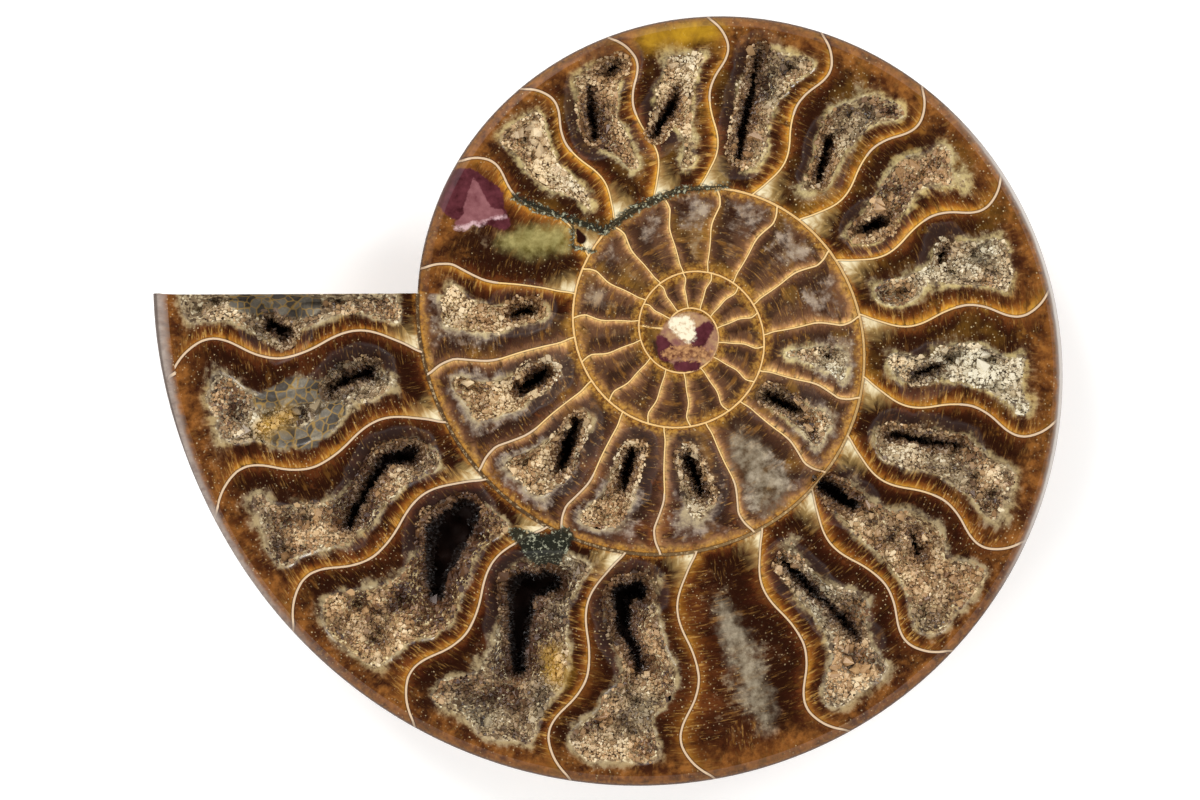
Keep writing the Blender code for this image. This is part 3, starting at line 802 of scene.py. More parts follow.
def store(mesh, domain, fields):
    """Puts values on a mesh's points or face corners, as one attribute for each name."""
    for name, values in fields.items():
        layer = mesh.attributes.new(name, "FLOAT", domain)
        layer.data.foreach_set("value", values.astype(np.float32))


x, y, z = (np.concatenate(part) for part in (vertex_x, vertex_y, vertex_z))
shell_mesh = bpy.data.meshes.new("ammonite_shell")
shell_mesh.from_pydata(to_frame(x, y, z).tolist(), [], face_lists)
shell_mesh.polygons.foreach_set("material_index", np.concatenate(face_slots))
store(shell_mesh, "CORNER", dict(zip(CORNER_NAMES, np.concatenate(corner_values).T)))
point_fields = {name: patch_distance(x, y, strokes) for name, strokes in PATCHES.items()}
point_fields.update(hole=hole_distance(x, y), north=y + NORTH_SLANT * x)
store(shell_mesh, "POINT", point_fields)
shell_mesh.shade_smooth()
shell_mesh.set_sharp_from_angle(angle=math.radians(40.0))
shell_mesh.update()
shell = bpy.data.objects.new("ammonite_shell", shell_mesh)
bpy.context.collection.objects.link(shell)


def grain(millimetres):
    """Scale of a texture in Object coordinates, whose unit is the metre, for a grain size.

    Calcite's own grains and needles are 0.05 to 0.2 mm wide, which is too fine to show here, so
    the finest patterns are drawn about 0.5 mm wide.
    """
    return 1.0 / (millimetres * MM)


def polished_calcite():
    """Calcite that grew inward from every wall, sawn and polished to a gloss.

    It is amber at one side of a chamber wall and dark red-brown elsewhere, with needles that
    stand on the walls and a pale halo round the crystals.
    """
    material, tree = new_material("polished_calcite")
    field = {name: add(tree, "Attribute", out="Fac", attribute_name=name)
             for name in (*CORNER_NAMES, *point_fields)}
    place = add(tree, "TexCoord", out="Object")
    cloud, mottle, speck = (add(tree, "TexNoise", {
        "Vector": place, "Scale": grain(size), "Detail": detail, "Roughness": 0.65,
    }) for size, detail in ((9.0, 3.0), (2.2, 5.0), (0.6, 4.0)))

    # Distances from the chamber walls and whorl walls, and which of them is nearer.
    fold = add(tree, "Math", (field["count"], 0.5), operation="PINGPONG")
    septum = add(tree, "Math", (fold, field["pitch"]), operation="MULTIPLY")
    wall, girth = field["wall"], field["girth"]
    nearest = add(tree, "Math", (septum, wall), operation="MINIMUM")
    farther = add(tree, "Math", (septum, wall), operation="SUBTRACT")
    part = add(tree, "Math", (field["count"],), operation="FRACT")
    northern = add(tree, "Math", (field["north"], 0.02, cloud), operation="MULTIPLY_ADD")
    older = add(tree, "Math", (1.0, field["last"]), operation="SUBTRACT")
    northern = add(tree, "Math", (older, 0.35, northern), operation="MULTIPLY_ADD")
    mask = {name: add(tree, "MapRange", (value, start, end), interpolation_type="SMOOTHSTEP")
            for name, value, start, end in (
                ("near_side", part, 0.42, 0.58), ("faces_mouth", field["count"], *AMBER_TURNS_ROUND),
                ("by_wall", farther, -0.8, 0.8), ("outer_half", field["rise"], 6.0, 9.0),
                ("golden", northern, 0.25, 0.85), ("cloudy", cloud, 0.40, 0.60),
                ("rough_wall", girth, 22.0, 40.0), ("patchy", mottle, 0.40, 0.62),
                ("cream", speck, 0.42, 0.58), ("middle_whorl", girth, 16.0, 24.0),
                ("right", field["count"], 6.0, 8.0),
            )}
    # Needles stand on the walls: a noise stretched away from the nearest wall.
    follows = add(tree, "Math", (farther, 0.0), operation="GREATER_THAN")
    along = add(tree, "Mix", {0: follows, 2: field["rise"], 3: field["ray"]})
    on_wall = add(tree, "CombineXYZ", (along, nearest, cloud))
    needles, streaks = (add(tree, "TexNoise", {
        "Vector": add(tree, "Mapping", {"Vector": on_wall, "Scale": scale}),
        "Scale": 1.0, "Detail": 3.0, "Roughness": 0.6,
    }) for scale in ((3.4, 0.5, 3.0), (0.9, 0.22, 5.0)))

    # One side of each chamber wall is amber, in a broken band; the rest is dark.
    mask["broken"] = add(tree, "MapRange", (streaks, 0.34, 0.54, 0.25, 1.0))
    side = add(tree, "Math", (mask["near_side"], mask["faces_mouth"]), operation="ADD")
    side = add(tree, "Math", (side, 1.0), operation="SUBTRACT")
    side = add(tree, "Math", (side,), operation="ABSOLUTE")
    amber_share = add(tree, "Mix", {0: mask["by_wall"], 2: side, 3: mask["outer_half"]})
    amber_share = add(tree, "Math", (amber_share, mask["broken"]), operation="MULTIPLY")

    grown = add(tree, "Math", (field["grown"], 0.95), operation="SUBTRACT")
    for noise, amount in ((needles, 0.42), (mottle, 0.55), (streaks, 0.45), (cloud, 0.48)):
        grown = add(tree, "Math", (noise, amount, grown), operation="MULTIPLY_ADD")
    dark_side = add(tree, "ValToRGB", (grown,), stops=(
        (0.0, "#573217"), (0.07, "#552b12"), (0.18, "#38180a"), (0.42, "#240f07"), (0.70, "#2e170c"),
        (0.84, "#4a3020"), (0.94, "#75603f"), (1.0, "#9a865c")))
    amber_side = add(tree, "ValToRGB", (grown,), stops=(
        (0.0, "#b98430"), (0.12, "#9c6522"), (0.26, "#754118"), (0.42, "#48220e"),
        (0.64, "#381a0c"), (0.82, "#523621"), (0.93, "#826b44"), (1.0, "#a59060")))
    colour = add(tree, "Mix", {0: amber_share, 6: dark_side, 7: amber_side}, out=2, data_type="RGBA")
    for hue, saturation, value, share in (
        (0.506, 1.0, 1.5, mask["golden"]), (0.512, 0.84, 1.45, older),
    ):
        colour = add(tree, "HueSaturation", {
            "Hue": hue, "Saturation": saturation, "Value": value, "Fac": share, "Color": colour})

    # Stone of other kinds: colours of the crystals' bed, of a mosaic of large ones, and of patches.
    grains = add(tree, "TexVoronoi", {"Vector": place, "Scale": grain(0.45)}, out="Color")
    grain_tone = add(tree, "SeparateColor", (grains,))
    tone = add(tree, "Math", (mottle, 1.1, grain_tone), operation="MULTIPLY_ADD")
    tone = add(tree, "Math", (tone, 0.55), operation="SUBTRACT")
    tan, grey = (add(tree, "ValToRGB", (tone,), stops=tuple(zip((0.0, 0.3, 0.6, 0.85, 1.0), codes)))
                 for codes in (("#3a2616", "#6b5034", "#927650", "#b39a6c", "#d8c79c"),
                               ("#332b22", "#5f584b", "#857d6c", "#a59d8a", "#dcd6c4")))
    bed_paint = add(tree, "Mix", {0: field["grey"], 6: tan, 7: grey}, out=2, data_type="RGBA")
    cells = {"Vector": place, "Scale": grain(1.7), "Randomness": 0.9}
    cell = add(tree, "SeparateColor", (add(tree, "TexVoronoi", cells, out="Color"),), out=1)
    seams = add(tree, "TexVoronoi", cells, feature="DISTANCE_TO_EDGE")
    seams = add(tree, "Math", (speck, 0.16, seams), operation="MULTIPLY_ADD")
    cell = add(tree, "Math", (speck, 0.9, cell), operation="MULTIPLY_ADD")
    mosaic = add(tree, "ValToRGB", (add(tree, "MapRange", (cell, 0.4, 1.6)),), stops=(
        (0.0, "#2f2a26"), (0.3, "#4a443d"), (0.7, "#6d665a"), (1.0, "#978b74")))
    seam_share = add(tree, "MapRange", (seams, 0.17, 0.09, 0.0, 0.8))
    mosaic = add(tree, "Mix", {
        0: seam_share, 6: mosaic, 7: linear("#98783c")}, out=2, data_type="RGBA")

    # Paints: the noise that mottles each, from where to where, and its two colours.
    paint = {name: add(tree, "ValToRGB", (noise,), stops=((low_end, first), (high_end, second)))
             for name, noise, low_end, high_end, first, second in (
                 ("stain_and_hole_shade", mask["golden"], 0.0, 1.0, "#7c4420", "#a5762a"),
                 ("rim_zone", mottle, 0.40, 0.64, "#3b1f10", "#8c5828"),
                 ("cloud_grey", mottle, 0.36, 0.64, "#4f3c30", "#a8998a"),
                 ("smoke", mottle, 0.34, 0.68, "#3f3227", "#8f8067"),
                 ("halo", mask["golden"], 0.0, 1.0, "#a8946c", "#c0ac74"),
                 ("veil", mottle, 0.32, 0.66, "#54442f", "#a79b84"),
                 ("yellow", streaks, 0.3, 0.7, "#7d5a18", "#b48a20"),
                 ("green", mottle, 0.35, 0.65, "#665c2c", "#a0955e"),
                 ("rind", speck, 0.40, 0.64, "#5d3512", "#c0903f"),
                 ("wall_shell", speck, 0.52, 0.60, "#4e3a26", "#a08a68"),
                 ("mud", mottle, 0.35, 0.65, "#3a171b", "#5f2f35"),
                 ("facet", mottle, 0.35, 0.65, "#683a3e", "#88595b"),
                 ("disc", mottle, 0.36, 0.62, "#7a4f4a", "#ab8860"),
                 ("crumbs", speck, 0.38, 0.64, "#5d3524", "#b98a5c"),
                 ("core", speck, 0.30, 0.50, "#b0906a", "#e4d8bc"),
                 ("matrix", speck, 0.55, 0.64, "#20221b", "#9a9a82"),
                 ("rim", streaks, 0.3, 0.7, "#6e5f58", "#a69a90"),
             )}

    # Shell walls: their line is half of their thickness, which grows with the whorl. Pale wedges
    # stand where a chamber wall meets the whorl before, and flecks lie in the clouds.
    line = add(tree, "MapRange", (girth, 8.0, 46.0, 0.09, 0.17))
    septum_lines = add(tree, "Math", (septum, line), operation="DIVIDE")
    wall_lines = add(tree, "Math", (wall, line), operation="DIVIDE")
    septum_paint = add(tree, "Mix", {
        0: mask["rough_wall"], 6: linear("#dfbc80"), 7: linear("#c8ae90")}, out=2, data_type="RGBA")
    wall_paint = add(tree, "Mix", {
        0: mask["rough_wall"], 6: linear("#d8b074"), 7: paint["wall_shell"],
    }, out=2, data_type="RGBA")
    wedge = add(tree, "Math", (septum, -0.17, 1.0), operation="MULTIPLY_ADD")
    wedge = add(tree, "Math", (field["rise"], -0.13, wedge), operation="MULTIPLY_ADD")
    wedge_side = add(tree, "Math", (mask["near_side"], field["last"]), operation="MULTIPLY")
    fleck_cells = add(tree, "TexVoronoi", {"Vector": place, "Scale": grain(0.9)},
                      voronoi_dimensions="2D")
    fleck_pick = add(tree, "SeparateColor", (fleck_cells.node.outputs["Color"],), out=2)
    fleck_share = add(tree, "Math", (fleck_pick, mask["cloudy"]), operation="MULTIPLY")
    middle = add(tree, "Math", (older, mask["middle_whorl"]), operation="MULTIPLY")
    rim_away = add(tree, "Math", (field["rim"], -1.0), operation="MULTIPLY")

    # Where single layers lie: the deeper brown off the amber sides and the comb of amber needles,
    # both in the last whorl, and the painted highlight, silvery, on the rim at the right.
    shade = add(tree, "Math", (1.0, amber_share), operation="SUBTRACT")
    shade = add(tree, "Math", (shade, field["last"]), operation="MULTIPLY")
    comb = add(tree, "MapRange", (nearest, 2.7, 0.4))
    comb = add(tree, "Math", (comb, amber_share), operation="MULTIPLY")
    comb = add(tree, "Math", (comb, field["last"]), operation="MULTIPLY")
    right_rim = add(tree, "Math", (field["band"], mask["right"]), operation="MULTIPLY")

    # Each layer: value, the noise that frays its edge and by how much, where it starts and is full,
    # its greatest share, its colour, and a share of where it lies.
    layers = (
        (cloud, speck, 0.0, 0.52, 0.68, 0.4, paint["stain_and_hole_shade"], 1.0),
        (streaks, speck, 0.0, 0.55, 0.72, 0.5, "#8a5c26", 1.0),
        (streaks, speck, 0.0, 0.46, 0.30, 0.6, "#260e08", 1.0),
        (mottle, speck, 0.0, 0.57, 0.72, 0.45, paint["stain_and_hole_shade"], 1.0),
        (mottle, speck, 0.0, 0.45, 0.27, 0.6, "#28110a", 1.0),
        (needles, speck, 0.0, 0.56, 0.74, 0.6, "#a97c40", 1.0),
        (needles, speck, 0.0, 0.44, 0.28, 0.5, "#220d07", 1.0),
        (grown, streaks, 0.6, 0.05, 0.40, 0.5, "#210e06", shade),
        (needles, speck, 0.0, 0.50, 0.66, 0.62, "#cfa052", comb),
        (rim_away, mottle, 8.0, -8.0, -1.0, 0.8, paint["rim_zone"], 1.0),
        (grown, mottle, 0.8, 0.70, 1.00, 0.6, paint["smoke"], mask["cloudy"]),
        (grown, mottle, 0.9, 0.45, 0.90, 0.6, paint["cloud_grey"], middle),
        (wall, mottle, 3.0, 1.8, 0.2, 0.8, paint["rind"], older),
        (fleck_cells, speck, 0.5, 0.16, 0.02, 0.7, "#cdb68a", fleck_share),
        (field["druse"], mottle, 2.0, -0.9, -0.1, 0.6, paint["halo"], mask["patchy"]),
        (field["druse"], speck, 1.4, -0.25, 0.25, 1.0, bed_paint, 1.0),
        (field["mosaic"], mottle, 2.4, -0.5, 0.3, 1.0, mosaic, 1.0),
        (field["veil"], mottle, 5.5, -1.6, 2.4, 0.72, paint["veil"], 1.0),
        (field["yellow"], mottle, 3.5, -2.4, 1.6, 0.85, paint["yellow"], 1.0),
        (field["green"], mottle, 3.0, -1.6, 1.6, 0.85, paint["green"], 1.0),
        (wedge, streaks, 0.9, 0.02, 0.75, 0.85, "#b3935a", wedge_side),
        (wedge, streaks, 0.9, 0.40, 0.95, 0.85, "#e6dbb8", wedge_side),
        (wall_lines, speck, 0.0, 7.0, 2.0, 0.7, "#9a6626", mask["cream"]),
        # Painted shade: the sunk floor of each hole is painted near black.
        (field["hole"], speck, 0.8, -0.9, -0.1, 1.0, "#22110a", 1.0),
        (septum_lines, speck, 0.0, 2.6, 1.0, 0.75, "#2f150a", 1.0),
        (wall_lines, speck, 1.6, 3.0, 1.6, 0.8, "#3a2414", 1.0),
        (wall_lines, speck, 1.6, 1.7, 1.1, 1.0, wall_paint, 1.0),
        (septum_lines, speck, 0.0, 1.25, 0.7, 1.0, septum_paint, 1.0),
        (field["disc"], speck, 0.8, -0.3, 0.2, 1.0, paint["disc"], 1.0),
        (field["mud"], speck, 1.1, -0.2, 0.2, 1.0, paint["mud"], 1.0),
        (field["facet"], speck, 0.7, -0.1, 0.2, 0.95, paint["facet"], 1.0),
        # Painted highlight along the facet's lower edge.
        (field["facet_edge_highlight"], speck, 1.2, -0.2, 0.3, 0.9, "#c4a4a6", mask["patchy"]),
        (field["matrix"], speck, 2.6, -0.3, 0.3, 0.95, paint["matrix"], 1.0),
        (field["crumbs"], speck, 3.0, -0.3, 0.3, 0.9, paint["crumbs"], 1.0),
        (field["core"], speck, 1.8, -0.3, 0.4, 1.0, paint["core"], 1.0),
        # Painted shade in the small pit.
        (field["pit"], speck, 0.4, -0.2, 0.2, 1.0, "#24100a", 1.0),
        (field["rim"], speck, 1.2, 1.5, 0.3, 0.5, "#44240f", 1.0),
        # Painted highlight: the pale band along the rim, and silvery at the right.
        (field["rim"], streaks, 1.2, 1.5, 0.7, 0.8, paint["rim"], field["band"]),
        (field["rim"], streaks, 0.5, 0.9, 0.5, 0.85, "#c4bdb6", right_rim),
        (field["rim"], speck, 0.0, 0.25, 0.02, 0.8, "#38251a", 1.0),
    )
    for value, noise, fray, start, end, most, code, within in layers:
        frayed = add(tree, "Math", (noise, fray, value), operation="MULTIPLY_ADD")
        share = add(tree, "MapRange", (frayed, start + fray / 2, end + fray / 2, 0.0, most),
                    interpolation_type="SMOOTHSTEP")
        share = add(tree, "Math", (share, within), operation="MULTIPLY")
        top = linear(code) if isinstance(code, str) else code
        colour = add(tree, "Mix", {0: share, 6: colour, 7: top}, out=2, data_type="RGBA")

    # Rough where crystals, a hole or the rounded rim end the polish.
    rough = 0.0
    for value, start, end, most in (
        (field["druse"], -0.5, 0.3, 0.6),
        (field["hole"], -4.0, -3.0, 0.6),
        (field["rim"], 2.0, 1.4, 0.42),
    ):
        share = add(tree, "MapRange", (value, start, end, 0.0, most))
        rough = add(tree, "Math", (share, rough), operation="MAXIMUM")
    shader = add(tree, "BsdfPrincipled", {
        "Base Color": colour, "IOR": 1.6,
        "Roughness": add(tree, "MapRange", (rough, 0.0, 1.0, 0.15, 1.0)),
        "Specular IOR Level": add(tree, "MapRange", (rough, 0.0, 0.5, 0.5, 0.12)),
    })
    add(tree, "OutputMaterial", {"Surface": shader})
    return material


def flank_shell():
    """Thin shell, worn smooth, on the hidden side: mottled brown and cream with growth lines.

    The frilled outer edges of the chamber walls show through it as dark lines.
    """
    material, tree = new_material("flank_shell")
    place = add(tree, "TexCoord", out="Object")
    field = {name: add(tree, "Attribute", out="Fac", attribute_name=name)
             for name in ("count", "pitch", "rise", "ray")}
    mottle, frill = (add(tree, "TexNoise", {
        "Vector": place, "Scale": grain(size), "Detail": detail, "Roughness": 0.62,
    }) for size, detail in ((7.0, 5.0), (2.4, 3.0)))
    strip = add(tree, "CombineXYZ", (field["ray"], field["rise"]))
    strip = add(tree, "Mapping", {"Vector": strip, "Scale": (1.6, 0.05, 1.0)})
    growth = add(tree, "TexNoise", {"Vector": strip, "Scale": 1.0, "Detail": 3.0})
    colour = add(tree, "ValToRGB", (mottle,), stops=(
        (0.30, "#3c2112"), (0.42, "#633c1f"), (0.52, "#83562c"), (0.62, "#a07c4c"),
        (0.74, "#c0a67a")))
    fold = add(tree, "Math", (field["count"], 0.5), operation="PINGPONG")
    away = add(tree, "Math", (fold, field["pitch"]), operation="MULTIPLY")
    waved = add(tree, "Math", (frill, 9.0, away), operation="MULTIPLY_ADD")
    waved = add(tree, "Math", (waved, 6.0), operation="SUBTRACT")
    suture = add(tree, "Math", (waved,), operation="ABSOLUTE")
    for value, start, end, most, code in (
        (growth, 0.42, 0.62, 0.4, "#4c2f1a"), (suture, 0.5, 0.2, 0.7, "#26150c"),
    ):
        share = add(tree, "MapRange", (value, start, end, 0.0, most))
        colour = add(tree, "Mix", {0: share, 6: colour, 7: linear(code)}, out=2, data_type="RGBA")
    shader = add(tree, "BsdfPrincipled", {"Base Color": colour, "Roughness": 0.32, "IOR": 1.55})
    add(tree, "OutputMaterial", {"Surface": shader})
    return material


def rough_calcite():
    """Calcite sawn and not polished, on the straight edge at the mouth: matt brown, pale grains."""
    material, tree = new_material("rough_calcite")
    place = add(tree, "TexCoord", out="Object")
    patches, grains = (add(tree, "TexNoise", {
        "Vector": place, "Scale": grain(size), "Detail": 5.0, "Roughness": 0.7,
    }) for size in (5.0, 0.8))
    brown = add(tree, "ValToRGB", (patches,), stops=(
        (0.32, "#3a1e10"), (0.46, "#5f3b20"), (0.56, "#7c5a36"), (0.70, "#9a845e")))
    pale = add(tree, "MapRange", (grains, 0.54, 0.66, 0.0, 0.6))
    colour = add(tree, "Mix", {0: pale, 6: brown, 7: linear("#b7a27a")}, out=2, data_type="RGBA")
    bump = add(tree, "Bump", {"Height": grains, "Strength": 0.6, "Distance": 0.5 * MM})
    shader = add(tree, "BsdfPrincipled", {"Base Color": colour, "Roughness": 0.6, "Normal": bump})
    add(tree, "OutputMaterial", {"Surface": shader})
    return material


for material in (polished_calcite(), flank_shell(), rough_calcite()):
    shell_mesh.materials.append(material)
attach(shell, "root")
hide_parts("ammonite_half")


# The druses: in each hollow, small calcite crystals that grew on the glassy lining and over one
# another until they were one crust. Each is a lumpy lining of the dark hole, joined with the
# crystals of its chamber. Where the saw met a crystal, its point is cut off level with the face.

# Crystals stand this far apart on the bed, and one to this many square millimetres on the walls.
# The finest real ones are half as large, too small to show, so one here stands for a few. They
# are small, middling and big, as shares of the gap, and a few are large blocks.
CRYSTAL_GAP = 0.40
CRYSTAL_SHARES, CRYSTAL_ODDS = (1.15, 1.6, 2.6), (0.66, 0.29, 0.05)
SIZE_SPREAD = (0.8, 1.25)
WALL_CRYSTAL_AREA = 0.13
WALL_CRYSTAL_SIZES = (0.35, 0.75)
BLOCK_SIZE, BLOCK_SINK = 2.2, 1.1
BLOCK_ODDS, STRAY_BLOCK_ODDS = 0.11, 0.03
SAWN_LEVEL = -0.03

# A crystal's shape, as shares of its size: its belt's radius, how far the tip is above the belt
# and the foot below it, how crooked the belt is, and how far the tip leans.
CRYSTAL_SIDES = 5
CRYSTAL_POINTS = CRYSTAL_SIDES + 2
BELT_RADIUS, TIP_HEIGHT, FOOT_DEPTH = (0.36, 0.66), (0.5, 1.1), 0.6
BELT_LIFT, TIP_LEAN = (-0.1, 0.35), 0.3

# A hollow's lining: its columns are this far apart, and its rings are offset and depth, in a
# hollow of the usual depth. An offset above zero is millimetres, and one below is a share.
LINING_GAP = 0.35
USUAL_DEPTH = 8.0
CAP_COLUMNS = 7
LINING_RINGS = (
    (1.70, 0.35), (1.10, 0.10), (0.70, 0.55), (0.42, 1.3), (0.28, 2.3), (0.12, 3.4),
    (-0.05, 4.4), (-0.45, 5.2),
)
LINING_BACK, LINING_UNDER = 0.5, 0.45
LINING_JITTER, LINING_WAVE, LINING_WAVE_SIZE, LINING_WAVE_REACH = 0.16, 0.4, 2.6, 2.2
DEPTH_JITTER, LEAST_DROP, LEAST_REACH, LINING_ROOM = 0.12, 0.05, 0.12, 0.9

# Where the bed's crystals stand: this far inside the crust's frayed edge, clear of the dark
# holes, the whorl walls, the mouth's cut up to a turn, and patches of other stone.
CRUST_START, CRUST_FRAY, CRUST_FRAY_SIZE, CRUST_JITTER = 0.15, 0.5, 2.0, 0.18
CLEAR_OF_HOLE, CLEAR_OF_WALL, CLEAR_OF_MOUTH, CLEAR_OF_PATCH = 0.6, 0.7, 0.9, 0.4
MOUTH_REACH = 60.0
NOT_CRUST = ("mud", "matrix", "mosaic")
CAVE_WALL_SEED, CRUST_EDGE_SEED, BLOCK_SEED, TINT_SEED, GREY_SEED = 30, 40, 60, 70, 80
CRYSTAL_SEED = 11
FACE_LEFT, FACE_RIGHT, FACE_BOTTOM, FACE_TOP = -80.0, 66.0, -76.0, 54.0
rng = np.random.default_rng(CRYSTAL_SEED)


def coil_place(x, y):
    """Turn and height share of plan points: the whorl whose two walls lie on either side."""
    radius = np.hypot(x, y)
    turn = np.full(x.shape, np.nan)
    height = np.full(x.shape, np.nan)
    for whorl in range(len(ROWS)):
        here = first_turn(x, y) + WHOLE * whorl
        outer, inner = rim_radius(here), rim_radius(here + WHOLE)
        within = (radius < outer) & (radius >= inner)
        turn = np.where(within, here, turn)
        height = np.where(within, height_share(radius, here), height)
    return turn, height


def crystals(base, direction, size, tint):
    """Points, faces and tints of small five-sided double pyramids, as whole arrays.

    Corner k of the belt = base + radius * (cos, sin of its angle along two side directions)
    + lift * direction. The foot lies on the direction through the base, and the tip leans off it.
    """
    count = len(base)
    direction = direction / np.linalg.norm(direction, axis=1, keepdims=True)
    helper = np.where(np.abs(direction[:, :1]) < 0.8, (1.0, 0.0, 0.0), (0.0, 1.0, 0.0))
    side = np.cross(direction, helper)
    side /= np.linalg.norm(side, axis=1, keepdims=True)
    other = np.cross(direction, side)
    angle = rng.uniform(0, math.tau, (count, 1)) + np.arange(CRYSTAL_SIDES) * math.tau / CRYSTAL_SIDES
    wide = size[:, None] * rng.uniform(*BELT_RADIUS, (count, CRYSTAL_SIDES))
    around = (np.cos(angle)[..., None] * side[:, None] + np.sin(angle)[..., None] * other[:, None])
    around = around * wide[..., None]
    tall = size * rng.uniform(*TIP_HEIGHT, count)
    lean = rng.uniform(-TIP_LEAN, TIP_LEAN, (count, 2)) * size[:, None]
    foot = base - direction * (FOOT_DEPTH * size)[:, None]
    tip = base + direction * tall[:, None] + side * lean[:, :1] + other * lean[:, 1:]
    lift = rng.uniform(*BELT_LIFT, (count, CRYSTAL_SIDES, 1)) * size[:, None, None]
    belt = base[:, None] + around + direction[:, None] * lift
    points = np.concatenate([foot[:, None], belt, tip[:, None]], axis=1)
    ring = np.arange(CRYSTAL_SIDES)
    ahead = (ring + 1) % CRYSTAL_SIDES
    bottom = np.stack([np.zeros_like(ring), 1 + ahead, 1 + ring], axis=1)
    top = np.stack([1 + ring, 1 + ahead, np.full_like(ring, CRYSTAL_POINTS - 1)], axis=1)
    pattern = np.concatenate([bottom, top])
    faces = pattern[None] + CRYSTAL_POINTS * np.arange(count)[:, None, None]
    return points.reshape(-1, 3), faces.reshape(-1, 3), np.repeat(tint, CRYSTAL_POINTS)


def spine_of(stations):
    """Smooth stations along a hollow: places, half widths, headings, at even steps."""
    stations = np.array(stations)
    along = np.append(0.0, np.cumsum(np.hypot(*np.diff(stations[:, :2], axis=0).T)))
    even = np.linspace(0.0, along[-1], max(int(along[-1] / LINING_GAP), 6))
    line = np.stack([np.interp(even, along, stations[:, k]) for k in range(3)], axis=1)
    for _ in range(6):
        line[1:-1] = (line[:-2] + 2 * line[1:-1] + line[2:]) / 4
    heading = np.gradient(line[:, :2], axis=0)
    return line, heading / np.linalg.norm(heading, axis=1, keepdims=True)


def lining(stations, deep, bed):
    """A hollow's lining: rings round its outline, from the crystals' bed down its walls.

    A ring's point = spine + outward direction * (half width * (1 + share) + offset), roughened.
    The same rings, pushed outwards and down, close it as its back. Returns the rings' points,
    the faces, the number of front rings and the outward directions.
    """
    line, heading = spine_of(stations)
    normal = np.stack([-heading[:, 1], heading[:, 0]], axis=1)
    bends = np.radians(np.linspace(0, 180, CAP_COLUMNS + 2)[1:-1])
    cap_end = (np.cos(bends)[:, None] * normal[-1] + np.sin(bends)[:, None] * heading[-1])
    cap_start = (-np.cos(bends)[:, None] * normal[0] - np.sin(bends)[:, None] * heading[0])
    outward = np.concatenate([normal, cap_end, -normal[::-1], cap_start])
    centre = np.concatenate([
        line, np.repeat(line[-1:], CAP_COLUMNS, 0), line[::-1], np.repeat(line[:1], CAP_COLUMNS, 0)])
    rings = []
    share = deep / USUAL_DEPTH
    for number, (offset, depth) in enumerate(LINING_RINGS):
        reach = centre[:, 2] * (1.0 + min(offset, 0.0)) + max(offset, 0.0)
        near_x, near_y = (centre[:, :2] + LINING_WAVE_REACH * outward).T
        wave = uneven(near_x + depth, near_y, LINING_WAVE_SIZE, CAVE_WALL_SEED)
        rough = rng.normal(0.0, LINING_JITTER, len(centre)) + LINING_WAVE * wave
        reach = np.maximum(reach + rough * (number > 0), LEAST_REACH)
        x, y = (centre[:, :2] + outward * reach[:, None]).T
        top = bed(x, y)
        down = depth * share + DEPTH_JITTER * rng.normal(0.0, 1.0, len(centre))
        deepest = np.minimum(top + np.maximum(down, LEAST_DROP), LINING_ROOM * room(x, y))
        rings.append(np.stack([x, y, -deepest if number > 1 else -top - 0.1], axis=1))
    push = np.pad(outward * LINING_BACK, ((0, 0), (0, 1)), constant_values=-LINING_UNDER)
    back = [ring + push for ring in rings[:0:-1]]
    closed = np.array(rings + back)
    numbers = np.arange(closed[..., 0].size).reshape(closed.shape[:2])
    below, beside = np.roll(numbers, -1, axis=0), np.roll(numbers, -1, axis=1)
    across = np.roll(below, -1, axis=1)
    quads = np.stack([numbers, below, across, beside], axis=-1).reshape(-1, 4)
    return closed, quads, len(rings), outward


# Places of the bed's crystals: a jittered grid over the face, less what isn't crystals. Each
# belongs to the hollow whose line is nearest.
span = np.arange(FACE_LEFT, FACE_RIGHT, CRYSTAL_GAP)
rise = np.arange(FACE_BOTTOM, FACE_TOP, CRYSTAL_GAP)
grid_x, grid_y = np.meshgrid(span, rise)
grid_x = (grid_x + rng.uniform(-0.5, 0.5, grid_x.shape) * CRYSTAL_GAP).ravel()
grid_y = (grid_y + rng.uniform(-0.5, 0.5, grid_y.shape) * CRYSTAL_GAP).ravel()
grid_turn, grid_height = coil_place(grid_x, grid_y)
found = np.isfinite(grid_turn)
grid_x, grid_y, grid_turn, grid_height = (
    a[found] for a in (grid_x, grid_y, grid_turn, grid_height))
place_fields = coil_fields(grid_turn, grid_height)
hole = hole_distance(grid_x, grid_y)
edge_noise = CRUST_FRAY * uneven(grid_x, grid_y, CRUST_FRAY_SIZE, CRUST_EDGE_SEED)
edge_noise = edge_noise + rng.normal(0.0, CRUST_JITTER, grid_x.shape)
wanted = (place_fields["druse"] + edge_noise > CRUST_START) | (hole > -HOLE_MARGIN)
wanted &= (hole < -CLEAR_OF_HOLE) & (place_fields["wall"] > CLEAR_OF_WALL)
wanted &= (grid_y < MOUTH_HEIGHT - CLEAR_OF_MOUTH) | (grid_turn > MOUTH_REACH)
for name in NOT_CRUST:
    wanted &= patch_distance(grid_x, grid_y, PATCHES[name]) < -CLEAR_OF_PATCH
grid_x, grid_y, hole = grid_x[wanted], grid_y[wanted], hole[wanted]
place_fields = {k: v[wanted] for k, v in place_fields.items()}
bed_depth = druse_depth(grid_x, grid_y, place_fields["druse"], hole)
far = np.array([
    -stroke_distance(grid_x, grid_y, [(a, b, 0.0) for a, b, _ in stations])
    for _, _, stations in HOLLOWS
])
owner = far.argmin(axis=0)


def bed(x, y):
    """Depth of the crystals' bed at plan points."""
    turn, height = coil_place(x, y)
    turn, height = np.nan_to_num(turn), np.nan_to_num(height, nan=0.5)
    return druse_depth(x, y, coil_fields(turn, height)["druse"], hole_distance(x, y))


